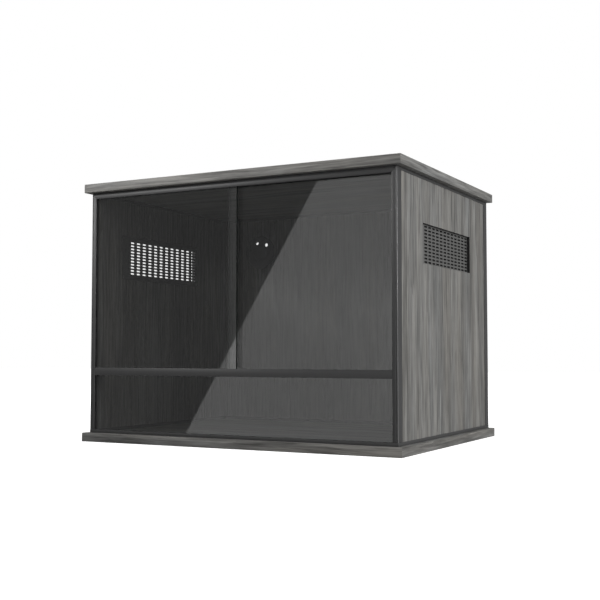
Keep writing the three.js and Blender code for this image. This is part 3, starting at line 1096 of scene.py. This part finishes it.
@dataclass
class Posts(Profiles):
    """The four corner posts."""

    face: float = 9.2 * MM
    corner: float = 0.9 * MM
    corner_steps: int = 5
    corner_slant: float = 0.3
    flange_drop: float = 5.2 * MM
    mitre_rise: float = 10.5 * MM
    mitre_drop: float = 0.3 * MM

    def build(self) -> None:
        """Models the posts."""
        for place in ("front", "rear"):
            for hand_name in ("left", "right"):
                self.build_post(place, hand_name)

    def build_post(self, place: str, hand_name: str) -> None:
        """Models one post from its box section, its flange and its rounded corner.

        Args:
            place: front or rear.
            hand_name: left or right.
        """
        node = f"{place}_{hand_name}_post"
        low, high = corners(node)
        slot = self.glass_slot if place == "front" else self.panel_slot
        depth = self.lip + slot + self.rib
        way = hand(hand_name)
        inwards = 1.0 if place == "front" else -1.0
        outer = high.x if way > 0 else low.x
        face_y = low.y if place == "front" else high.y
        flange_length = high.y - low.y - depth
        low.y, high.y = sorted((face_y, face_y + inwards * depth))
        form = self.start_block(node, low, high)
        inner_side = Side.LEFT if way > 0 else Side.RIGHT
        face_side, back_side = Side.FRONT, Side.REAR
        if place == "rear":
            face_side, back_side = back_side, face_side
        slot_ys = (face_y + inwards * self.lip, face_y + inwards * (self.lip + slot))
        form.plough(inner_side, Axis.Y, slot_ys, self.face - self.flange)
        flange_xs = (outer, outer - way * self.flange)
        flange_zs = (low.z, high.z - self.flange_drop)
        form.groove(back_side, Axis.X, flange_xs, -flange_length, Axis.Z, flange_zs)
        line_xs = (outer - way * self.bead, outer - way * (self.bead + self.fine_groove))
        form.plough(face_side, Axis.X, line_xs, self.fine_depth)
        if place == "front":
            form.carve(self.mitre(outer, way, face_y, high.z))

        def outer_corner(middle: Vector, run: Vector) -> bool:
            """True for the upright edge between the post's face and its outer side."""
            near = abs(middle.x - outer) < HAIR and abs(middle.y - face_y) < HAIR
            return near and abs(run.z) > ALIGNED

        form.round_edges(outer_corner, self.corner, self.corner_steps)

    def paint_faces(self, form: Form, finishes: Finishes) -> None:
        """Gives a post its plastic, with a painted highlight along the rounded corner.

        Args:
            form: the post.
            finishes: the cabinet's finishes.
        """
        def highlight_face(middle: Vector, normal: Vector) -> int:
            """1 for a face of the rounded corner, which takes the painted highlight, 0 for any
            other.
            """
            slanted = min(abs(normal.x), abs(normal.y)) > self.corner_slant
            return int(slanted and abs(normal.z) < SQUARE)

        form.paint([finishes.drawn[Axis.Z], finishes.painted_highlight], highlight_face)

    def mitre(self, outer: float, way: float, front: float, top: float) -> Form:
        """The wedge that takes the post's lip back to the upper track's mitre.

        Args:
            outer: the post's outer side.
            way: -1 on the left, 1 on the right.
            front: the post's face.
            top: the post's top.

        Returns:
            The cutter.
        """
        slope = self.mitre_rise / self.face
        inner = outer - way * (self.face + BEYOND)
        far = outer + way * BEYOND
        low_z = top - self.mitre_drop - slope * (self.face + BEYOND)
        low = Vector((min(inner, far), front - BEYOND, low_z))
        high = Vector((max(inner, far), front + self.lip + self.gap, top + 3 * BEYOND))
        wedge = Form.block("mitre", low, high)
        with wedge.editing("EDGE"):
            wedge.pick_edges(lambda middle, run: abs(run.y) > ALIGNED
                             and middle.z < low_z + BEYOND and abs(middle.x - far) < BEYOND)
            bpy.ops.transform.translate(value=(0, 0, slope * (self.face + 2 * BEYOND)))
        return wedge


@dataclass
class Channels(Profiles):
    """The channels that hold the panels' and the fixed pane's edges."""

    end_wall: float = 1.0 * MM
    notch_width: float = 5.0 * MM
    track_reach: float = 12.7 * MM
    track_half: float = 280.8 * MM

    def build(self) -> None:
        """Models the seven channels."""
        for hand_name in ("left", "right"):
            self.build_side(hand_name, "base")
            self.build_side(hand_name, "top")
        form, low, high = self.start("rear_base_channel")
        slot = (high.y - self.lip - self.panel_slot, high.y - self.lip)
        ends = (low.x + self.end_wall, high.x - self.end_wall)
        form.groove(Side.TOP, Axis.Y, slot, high.z - low.z - self.web, Axis.X, ends)
        form, low, high = self.start("rear_top_channel")
        slot = (high.y - self.lip - self.panel_slot, high.y - self.lip)
        form.plough(Side.BOTTOM, Axis.Y, slot, high.z - low.z - self.web)
        form, low, high = self.start("front_glass_channel")
        slot = (low.y + self.lip, low.y + self.lip + self.glass_slot)
        form.groove(Side.TOP, Axis.Y, slot, high.z - low.z - self.web, Axis.X, ends)

    def build_side(self, hand_name: str, level: str) -> None:
        """Models one channel along a side panel's edge.

        Args:
            hand_name: left or right.
            level: base or top.
        """
        form, low, high = self.start(f"{hand_name}_{level}_channel")
        way = hand(hand_name)
        outer = high.x if way > 0 else low.x
        slot = (outer - way * self.flange, outer - way * (self.flange + self.panel_slot))
        side = Side.TOP if level == "base" else Side.BOTTOM
        form.plough(side, Axis.X, slot, high.z - low.z - self.web)
        if level == "top":
            front = corners("upper_door_track")[0].y
            xs = sorted((way * (self.track_half - self.notch_width), way * self.track_half))
            notch_low = Vector((xs[0], front, low.z - BEYOND))
            notch_high = Vector((xs[1], front + self.track_reach, high.z + BEYOND))
            form.carve(Form.block("track_end", notch_low, notch_high))


@dataclass
class DoorTracks(Profiles):
    """The two profiles that the sliding panes run in."""

    door_groove: float = 5.0 * MM
    floor: float = 2.0 * MM
    tongue_reach: float = 8.1 * MM
    tongue_inset: float = 0.3 * MM
    panel_inner: float = 280.8 * MM
    rail_bead: float = 3.2 * MM
    mitre_gap: float = 9.025 * MM

    def build(self) -> None:
        """Models both tracks."""
        self.build_upper()
        self.build_lower()

    def slots(self, front: float) -> tuple[tuple[float, float], tuple[float, float]]:
        """The front and rear glass slots, as edges on Y.

        Args:
            front: the track's face.

        Returns:
            The two slots' edges.
        """
        start = front + self.lip
        again = start + self.glass_slot + self.rib
        return (start, start + self.glass_slot), (again, again + self.glass_slot)

    def build_upper(self) -> None:
        """Models the upper track: two grooves from below, a fine groove and a mitred lip."""
        node = "upper_door_track"
        low, high = corners(node)
        half = self.panel_inner - self.gap
        low.x, high.x = -half, half
        form = self.start_block(node, low, high)
        lip_end = low.y + self.lip
        with form.editing():
            form.score(Axis.Y, lip_end)
            for side in (Side.LEFT, Side.RIGHT):
                form.pick_faces(lambda middle, normal: normal.dot(side.vector) > ALIGNED
                                and middle.y < lip_end)
                step = side.vector * self.gap
                bpy.ops.mesh.extrude_region_move(TRANSFORM_OT_translate={"value": step})
        with form.editing("EDGE"):
            for side in (Side.LEFT, Side.RIGHT):
                way = side.vector.x
                form.pick_edges(lambda middle, run: abs(run.y) > ALIGNED
                                and middle.z > high.z - HAIR and middle.y < lip_end
                                and way * middle.x > self.panel_inner - HAIR)
                bpy.ops.transform.translate(value=side.vector * self.mitre_gap)
        for slot in self.slots(low.y):
            form.plough(Side.BOTTOM, Axis.Y, slot, high.z - low.z - self.web)
        line_top = high.z + self.gap - self.rail_bead
        form.plough(Side.FRONT, Axis.Z, (line_top - self.fine_groove, line_top), self.fine_depth)

    def build_lower(self) -> None:
        """Models the lower track: two grooves above, a slot below and a tongue at each end."""
        node = "lower_door_track"
        low, high = corners(node)
        half = self.panel_inner - self.gap
        low.x, high.x = -half, half
        form = self.start_block(node, low, high)
        front_slot, rear_slot = self.slots(low.y)
        floor_top = high.z - self.door_groove
        floor_bottom = floor_top - self.floor
        for slot in (front_slot, rear_slot):
            form.plough(Side.TOP, Axis.Y, slot, self.door_groove)
        form.plough(Side.BOTTOM, Axis.Y, front_slot, floor_bottom - low.z)
        behind_low = Vector((-half - BEYOND, rear_slot[0], low.z - BEYOND))
        behind_high = Vector((half + BEYOND, high.y + BEYOND, floor_bottom))
        form.carve(Form.block("behind", behind_low, behind_high))
        tongue = (front_slot[0] + self.tongue_inset, front_slot[1] - self.tongue_inset)
        for side in (Side.LEFT, Side.RIGHT):
            form.groove(side, Axis.Z, (floor_bottom, floor_top), -self.tongue_reach, Axis.Y,
                        tongue)


@dataclass
class Glazing(SubAssembly):
    """The two sliding panes and the fixed pane below them."""

    arris: float = 0.4 * MM

    def build(self) -> None:
        """Models the three panes with ground arrises."""
        for node in ("left_door_glass", "right_door_glass", "lower_front_glass"):
            form, _, _ = self.start(node)
            form.round_edges(lambda middle, way: True, self.arris, 1)

    def dress(self, finishes: Finishes) -> None:
        """Leaves the faces clear and grinds the edges.

        Args:
            finishes: the cabinet's finishes.
        """
        bodies = {"left_door_glass": "left_door", "right_door_glass": "right_door"}
        for node, form in self.forms.items():
            form.paint([finishes.glass, finishes.ground],
                       lambda middle, normal: int(abs(normal.y) < ALIGNED))
            form.stand_for(node, bodies.get(node, self.body), "glass")


@dataclass
class VentGrilles(SubAssembly):
    """The slotted plates behind the side cut-outs."""

    columns: int = 12
    rows: int = 11
    vent_width: float = 229 * MM
    vent_height: float = 64 * MM
    bar_width: float = 5.1 * MM
    bar_height: float = 2.7 * MM
    field_edge: float = 2 * MM
    field_front: float = 18.5 * MM
    field_rear: float = 1.2 * MM
    slot_corner: float = 1.3 * MM
    corner_steps: int = 3
    arris: float = 0.15 * MM
    rim: float = 2 * MM

    def build(self) -> None:
        """Models both plates."""
        for hand_name in ("left", "right"):
            form, low, high = self.start(hand_name + "_vent_grille")
            form.carve(self.slots(low, high))
            form.round_edges(self.outline(low, high), self.arris, 2)

    def outline(self, low: Vector, high: Vector) -> MeshTest:
        """The test for the plate's own outer edges.

        Args:
            low: the plate's lowest corner.
            high: its highest corner.

        Returns:
            A test that is told an edge's middle and direction.
        """
        def test(middle: Vector, way: Vector) -> bool:
            """True for an edge on the plate's outline."""
            return min(min(middle[i] - low[i], high[i] - middle[i]) for i in (1, 2)) < HAIR

        return test

    def slots(self, low: Vector, high: Vector) -> Form:
        """The field of slots, modelled once and repeated.

        Args:
            low: the plate's lowest corner.
            high: its highest corner.

        Returns:
            The cutter.
        """
        centre = (low + high) / 2
        field_width = self.vent_width - self.field_front - self.field_rear
        pitch_y = (field_width + self.bar_width) / self.columns
        pitch_z = (self.vent_height - 2 * self.field_edge + self.bar_height) / self.rows
        first = Vector((low.x - BEYOND,
                        centre.y - self.vent_width / 2 + self.field_front,
                        centre.z - self.vent_height / 2 + self.field_edge))
        size = Vector((high.x - low.x + 2 * BEYOND, pitch_y - self.bar_width,
                       pitch_z - self.bar_height))
        slot = Form.block("slot", first, first + size)
        slot.round_edges(lambda middle, way: abs(way.x) > ALIGNED, self.slot_corner,
                         self.corner_steps)
        row = slot.repeat(Vector((0, pitch_y, 0)), self.columns)
        return row.repeat(Vector((0, 0, pitch_z)), self.rows)

    def dress(self, finishes: Finishes) -> None:
        """Gives the plates their coated faces, and the slot walls a near-black plastic as painted
        shade of the deep slots.

        Args:
            finishes: the cabinet's finishes.
        """
        for node, form in self.forms.items():
            low, high = corners(node)

            def painted_slot_shade(middle: Vector, normal: Vector) -> int:
                """1 for a wall of a slot, which takes the painted shade, 0 for the plate's faces
                and rim.
                """
                inside = all(low[i] + self.rim < middle[i] < high[i] - self.rim for i in (1, 2))
                return int(inside and abs(normal.x) < SQUARE)

            form.paint([finishes.grille, finishes.painted_slot_shade], painted_slot_shade)
            form.stand_for(node, self.body, "grille")


@dataclass
class CableGland(SubAssembly):
    """The round cable outlet: a ring in the back panel and the cap that turns in it."""

    sides: int = 96
    hole: float = 30 * MM
    wall: float = 2.2 * MM
    loose: float = 0.3 * MM
    gap: float = 0.2 * MM
    panel: float = 8 * MM
    flange_radius: float = 34 * MM
    flange: float = 2 * MM
    snap: float = 0.9 * MM
    snap_length: float = 1.2 * MM
    lip_width: float = 1.1 * MM
    lip: float = 0.8 * MM
    ledge: float = 2 * MM
    cap: float = 2.4 * MM
    dome_radius: float = 15 * MM
    dome: float = 0.8 * MM
    tip: float = 0.5 * MM
    cable_hole: float = 3.5 * MM
    cable_sides: int = 32
    cable_circle: float = 21.5 * MM
    cable_spread: float = 63.4
    cap_turn: float = 12.0
    arris: float = 0.25 * MM

    def axis(self) -> Vector:
        """A point on the outlet's axis."""
        low, high = corners("cable_gland_ring")
        return (low + high) / 2

    def turned(self, node: str, profile: Sequence[tuple[float, float]]) -> Form:
        """Draws rings out along a profile round the outlet's axis.

        Args:
            node: the node that it stands for.
            profile: radius and place on Y of each ring, in order.

        Returns:
            The form, open at both ends of the profile.
        """
        axis = self.axis()
        radius, place = profile[0]
        start = Vector((axis.x, place, axis.z))
        form = Form.disc(node + "_finished", start, radius, self.sides)
        self.forms[node] = form
        with form.editing("EDGE"):
            bpy.ops.mesh.select_all(action="SELECT")
            bpy.ops.mesh.delete(type="ONLY_FACE")
            bpy.ops.mesh.select_all(action="SELECT")
            for next_radius, next_place in profile[1:]:
                step = (0, next_place - place, 0)
                bpy.ops.mesh.extrude_edges_move(TRANSFORM_OT_translate={"value": step})
                scale = next_radius / radius
                bpy.ops.transform.resize(value=(scale, 1, scale),
                                         center_override=(axis.x, next_place, axis.z))
                radius, place = next_radius, next_place
        return form

    def build(self) -> None:
        """Models the ring and the cap."""
        face = corners("back_panel")[0].y
        outer = self.hole - self.loose
        bore = outer - self.wall
        front = face - self.flange
        seat = front + self.lip
        seat_end = seat + self.cap + 2 * self.loose
        sleeve = face + self.panel + self.gap + self.snap_length
        ring = self.turned("cable_gland_ring", [
            (bore - self.lip_width, front), (self.flange_radius - 2 * self.arris, front),
            (self.flange_radius, front + 2 * self.arris), (self.flange_radius, face - self.gap),
            (outer, face - self.gap), (outer, face + self.panel + self.gap),
            (outer + self.snap, face + self.panel + self.gap), (outer, sleeve),
            (bore - self.ledge, sleeve), (bore - self.ledge, seat_end), (bore, seat_end),
            (bore, seat), (bore - self.lip_width, seat), (bore - self.lip_width, front)])
        ring.close()
        plate = front + self.lip + self.loose
        radius = bore - self.loose
        cap = self.turned("cable_gland_cap", [
            (self.tip, plate - self.dome), (self.dome_radius - self.arris, plate - self.dome),
            (self.dome_radius, plate - self.dome + self.arris),
            (self.dome_radius + self.dome, plate), (radius, plate), (radius, plate + self.cap),
            (self.tip, plate + self.cap)])
        with cap.editing("EDGE"):
            mesh = bmesh.from_edit_mesh(cap.obj.data)
            for edge in mesh.edges:
                edge.select_set(edge.is_boundary)
            bmesh.update_edit_mesh(cap.obj.data)
            bpy.ops.mesh.edge_face_add()
        cap.close()
        for centre in self.cable_places():
            centre.y = plate - self.dome - BEYOND
            cap.carve(Form.rod("drill", centre, self.cable_hole, self.cable_sides,
                               self.dome + self.cap + 2 * BEYOND))

    def cable_places(self) -> list[Vector]:
        """The centres of the cap's two cable holes, as the cap was left.

        Returns:
            Two points; only X and Z are used.
        """
        axis = self.axis()
        places = []
        for way in (-1, 1):
            angle = math.radians(90 - self.cap_turn + way * self.cable_spread / 2)
            places.append(axis + Vector((math.cos(angle), 0, math.sin(angle))) * self.cable_circle)
        return places

    def dress(self, finishes: Finishes) -> None:
        """Gives both pieces their satin black.

        Args:
            finishes: the cabinet's finishes.
        """
        bodies = {"cable_gland_ring": self.body, "cable_gland_cap": "gland_cap"}
        for node, form in self.forms.items():
            form.paint([finishes.gland]).smooth().stand_for(node, bodies[node], "gland")


@dataclass(frozen=True)
class ScrewSize:
    """The sizes of one kind of countersunk screw."""

    shank: float
    head: float
    head_height: float
    length: float


@dataclass
class Screws(SubAssembly):
    """Every countersunk screw, each kind modelled once and copied."""

    sides: int = 32
    recess_reach: float = 0.55
    recess_width: float = 0.2
    recess_depth: float = 0.6
    rim: float = 0.12
    tip: float = 0.12
    thread_turns: int = 6
    thread_waist: float = 0.84

    def kinds(self) -> dict[str, ScrewSize]:
        """The kinds of screw, by the word that their nodes' names share."""
        return {
            "channel_screw": ScrewSize(1.5 * MM, 2.9 * MM, 1.5 * MM, 12 * MM),
            "front_channel_screw": ScrewSize(1.1 * MM, 1.9 * MM, 1.0 * MM, 11 * MM),
            "track_screw": ScrewSize(1.1 * MM, 1.9 * MM, 1.0 * MM, 11 * MM),
            "vent_screw": ScrewSize(1.1 * MM, 2.3 * MM, 1.2 * MM, 6 * MM),
        }

    def pattern(self, name: str, size: ScrewSize) -> Form:
        """Models a screw that points along Z from its head's flat face at the origin.

        Args:
            name: its name.
            size: its sizes.

        Returns:
            The screw.
        """
        bpy.ops.object.select_all(action="DESELECT")
        bpy.ops.mesh.primitive_circle_add(vertices=self.sides, radius=size.head, fill_type="NGON")
        form = Form(bpy.context.object, name)
        rim = self.rim * size.head
        steps = [(1.0, rim), (size.shank / size.head, size.head_height - rim)]
        thread = (size.length - size.head_height - size.shank) / (2 * self.thread_turns)
        for _ in range(self.thread_turns):
            steps += [(self.thread_waist, thread), (1 / self.thread_waist, thread)]
        steps.append((self.tip, size.shank))
        with form.editing():
            bpy.ops.mesh.select_all(action="SELECT")
            for scale, rise in steps:
                bpy.ops.mesh.extrude_region_move(TRANSFORM_OT_translate={"value": (0, 0, rise)})
                bpy.ops.transform.resize(value=(scale, scale, 1), center_override=(0, 0, 0))
        form.close()
        reach = size.head * self.recess_reach
        wide = size.head * self.recess_width / 2
        deep = size.head_height * self.recess_depth
        for half_x, half_y in ((reach, wide), (wide, reach)):
            high = Vector((half_x, half_y, deep))
            form.carve(Form.block("recess", Vector((-half_x, -half_y, -BEYOND)), high))
        return form.smooth(28.0)

    def build(self) -> None:
        """Copies each kind to its nodes' places."""
        nodes = sorted(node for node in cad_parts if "_screw_" in node)
        kinds = self.kinds()
        patterns = {kind: self.pattern(kind + "_pattern", size) for kind, size in kinds.items()}
        for node in nodes:
            kind = max((kind for kind in kinds if kind in node), key=len)
            self.forms[node] = patterns[kind].copy(node + "_finished", self.place(node))
        for form in patterns.values():
            bpy.data.objects.remove(form.obj, do_unlink=True)

    def place(self, node: str) -> Matrix:
        """Where a screw sits and the way it points.

        Args:
            node: the screw's node.

        Returns:
            The move from the origin to its place.
        """
        low, high = corners(node)
        head = (low + high) / 2
        if "vent" in node:
            way = Vector((hand(node), 0, 0))
            head.x = low.x if way.x > 0 else high.x
        else:
            upwards = "top_channel" in node or "upper_track" in node
            way = Vector((0, 0, 1.0 if upwards else -1.0))
            head.z = low.z if upwards else high.z
        turn = Vector((0, 0, 1)).rotation_difference(way)
        return Matrix.Translation(head) @ turn.to_matrix().to_4x4()

    def dress(self, finishes: Finishes) -> None:
        """Plates the screws.

        Args:
            finishes: the cabinet's finishes.
        """
        for node, form in self.forms.items():
            form.paint([finishes.zinc]).stand_for(node, self.body, "screw")


# ---- studio -------------------------------------------------------------------------------


@dataclass(frozen=True)
class Lamp:
    """A soft rectangular lamp that is aimed at a point."""

    name: str
    place: Point
    aim: Point
    size: tuple[float, float]
    power: float
    spread: float = 180.0

    def hang(self) -> None:
        """Adds the lamp."""
        data = bpy.data.lights.new(self.name, "AREA")
        data.shape = "RECTANGLE"
        data.size, data.size_y = self.size
        data.energy = self.power
        data.spread = math.radians(self.spread)
        lamp = bpy.data.objects.new(self.name, data)
        bpy.context.scene.collection.objects.link(lamp)
        lamp.location = self.place
        way = Vector(self.aim) - Vector(self.place)
        lamp.rotation_mode = "QUATERNION"
        lamp.rotation_quaternion = way.to_track_quat("-Z", "Y")
        lamp.visible_camera = False
        log.info("%s lamp", self.name)


@dataclass
class Studio:
    """The pale floor, the soft lamps, the bright surroundings and the camera."""

    floor_size: float = 12.0
    floor_cloud_rate: float = 3.0
    floor_tones: tuple[float, float] = (0.98, 1.02)
    near: float = 0.5
    far: float = 1.2
    near_glow: float = 0.70
    far_glow: float = 1.02
    floor_colour: float = 0.8
    floor_bounce: float = 0.12
    low_sky: float = 0.02
    high_sky: float = 0.40
    sky_edges: tuple[float, float] = (-0.3, 0.8)
    mirror_grey: float = 0.27
    mirror_edge: float = 0.0008
    camera_place: Point = (0.8626, -1.5946, 0.1540)
    camera_tilt: float = 3.009
    camera_turn: float = 28.111
    lens: float = 60.15
    sensor: float = 36.0
    image: float = 600.0
    card_edge: tuple[tuple[float, float], tuple[float, float]] = ((316, 183), (184, 437))
    card_side: tuple[float, float] = (500, 300)

    def lamps(self) -> list[Lamp]:
        """The lamps: a close front lamp high on the left, and a wide one on the right."""
        return [
            Lamp("front", (-1.5, -1.75, 1.0), (-0.38, -0.22, 0.85), (0.6, 0.3), 6.7, 60.0),
            Lamp("side", (2.1, -0.58, 0.8), (0.1, 0.0, 0.22), (1.0, 1.0), 38.0),
            Lamp("rear", (-1.2, 2.2, 1.1), (-0.1, 0.2, 0.2), (1.0, 1.0), 34.0),
        ]

    def build(self) -> None:
        """Sets up the whole studio."""
        self.lay_floor()
        self.place_camera()
        self.wrap_world()
        for lamp in self.lamps():
            lamp.hang()

    def seen(self, recipe: Recipe, path: bpy.types.Node) -> bpy.types.NodeSocket:
        """1 where a thing is looked at, directly or through glass, and 0 where it gives light."""
        return recipe.math("MAXIMUM", path.outputs["Is Camera Ray"],
                           path.outputs["Is Transmission Ray"])

    def lay_floor(self) -> None:
        """Lays a floor that shows white and still takes the cabinet's shadow."""
        bpy.ops.object.select_all(action="DESELECT")
        bpy.ops.mesh.primitive_plane_add(size=self.floor_size)
        floor = bpy.context.object
        floor.name = "floor"
        material, recipe = material_recipe("pale_floor")
        path = recipe.node("LightPath")
        seen = self.seen(recipe, path)
        place = recipe.place()
        cloud = recipe.noise(place, self.floor_cloud_rate).outputs[0]
        shade = recipe.node("Mix", {0: seen, 2: self.floor_bounce, 3: self.floor_colour})
        paint = recipe.math("MULTIPLY", shade.outputs[0], recipe.range(cloud, *self.floor_tones))
        matt = recipe.node("BsdfDiffuse", {"Color": paint}).outputs[0]
        away = recipe.node("VectorMath", {0: place}, operation="LENGTH").outputs["Value"]
        strength = recipe.node("MapRange", {0: away, 1: self.near, 2: self.far,
                                            3: self.near_glow, 4: self.far_glow}).outputs[0]
        glow = recipe.node("Emission", {"Color": (1, 1, 1, 1), "Strength": strength}).outputs[0]
        lit = recipe.node("AddShader", {0: matt, 1: glow}).outputs[0]
        recipe.end(recipe.node("MixShader", {0: seen, 1: matt, 2: lit}).outputs[0])
        floor.data.materials.append(material)
        floor.visible_glossy = False
        log.info("floor")

    def place_camera(self) -> None:
        """Stands the camera where the picture was taken from."""
        data = bpy.data.cameras.new("camera")
        data.lens = self.lens
        data.sensor_width = self.sensor
        camera = bpy.data.objects.new("camera", data)
        bpy.context.scene.collection.objects.link(camera)
        camera.location = self.camera_place
        camera.rotation_euler = (math.radians(90 + self.camera_tilt), 0,
                                 math.radians(self.camera_turn))
        bpy.context.scene.camera = camera

    def mirrored(self, point: tuple[float, float]) -> Vector:
        """The way in which the front glass mirrors the line of sight through an image point.

        Args:
            point: the point, in pixels from the picture's top left.

        Returns:
            The direction after the reflection.
        """
        focal = self.lens / self.sensor * self.image
        across = (point[0] - self.image / 2) / focal
        rise = (self.image / 2 - point[1]) / focal
        turn = Matrix.Rotation(math.radians(self.camera_turn), 3, "Z")
        tilt = Matrix.Rotation(math.radians(90 + self.camera_tilt), 3, "X")
        way = (turn @ tilt @ Vector((across, rise, -1.0))).normalized()
        way.y = -way.y
        return way

    def wrap_world(self) -> None:
        """Surrounds the cabinet: white where it is looked at, a soft sky for its light."""
        world = bpy.data.worlds.new("studio")
        bpy.context.scene.world = world
        world.use_nodes = True
        recipe = Recipe(world.node_tree)
        path = recipe.node("LightPath")
        way = recipe.node("TexCoord").outputs["Generated"]
        height = recipe.node("SeparateXYZ", {0: way}).outputs["Z"]
        low, high = self.sky_edges
        sky = recipe.node("MapRange", {0: height, 1: low, 2: high, 3: self.low_sky,
                                       4: self.high_sky}).outputs[0]
        top, foot = (self.mirrored(point) for point in self.card_edge)
        normal = top.cross(foot).normalized()
        if normal.dot(self.mirrored(self.card_side)) < 0:
            normal = -normal
        past = recipe.node("VectorMath", {0: way, 1: normal}, operation="DOT_PRODUCT")
        card = recipe.node("MapRange", {0: past.outputs["Value"], 1: -self.mirror_edge,
                                        2: self.mirror_edge, 3: self.mirror_grey,
                                        4: 1.0}).outputs[0]
        glossy = path.outputs["Is Glossy Ray"]
        light = recipe.node("Mix", {0: glossy, 2: sky, 3: card}).outputs[0]
        seen = self.seen(recipe, path)
        strength = recipe.node("Mix", {0: seen, 2: light, 3: 1.0}).outputs[0]
        shade = recipe.node("Background", {"Color": (1, 1, 1, 1), "Strength": strength})
        recipe.end(shade.outputs[0], world=True)
        log.info("surroundings")


def main() -> None:
    """Builds the cabinet and its studio in order."""
    bpy.context.scene.view_settings.view_transform = "Standard"
    finishes = Finishes()
    parts: list[SubAssembly] = [
        Boards(), Panels(), Posts(), Channels(), DoorTracks(), Glazing(), VentGrilles(),
        CableGland(), Screws(),
    ]
    for part in parts:
        part.build()
        part.dress(finishes)
        log.info("%s: %d pieces", type(part).__name__, len(part.forms))
    Studio().build()


if __name__ == "__main__":
    logging.basicConfig(level=logging.INFO, format="%(message)s")
    main()
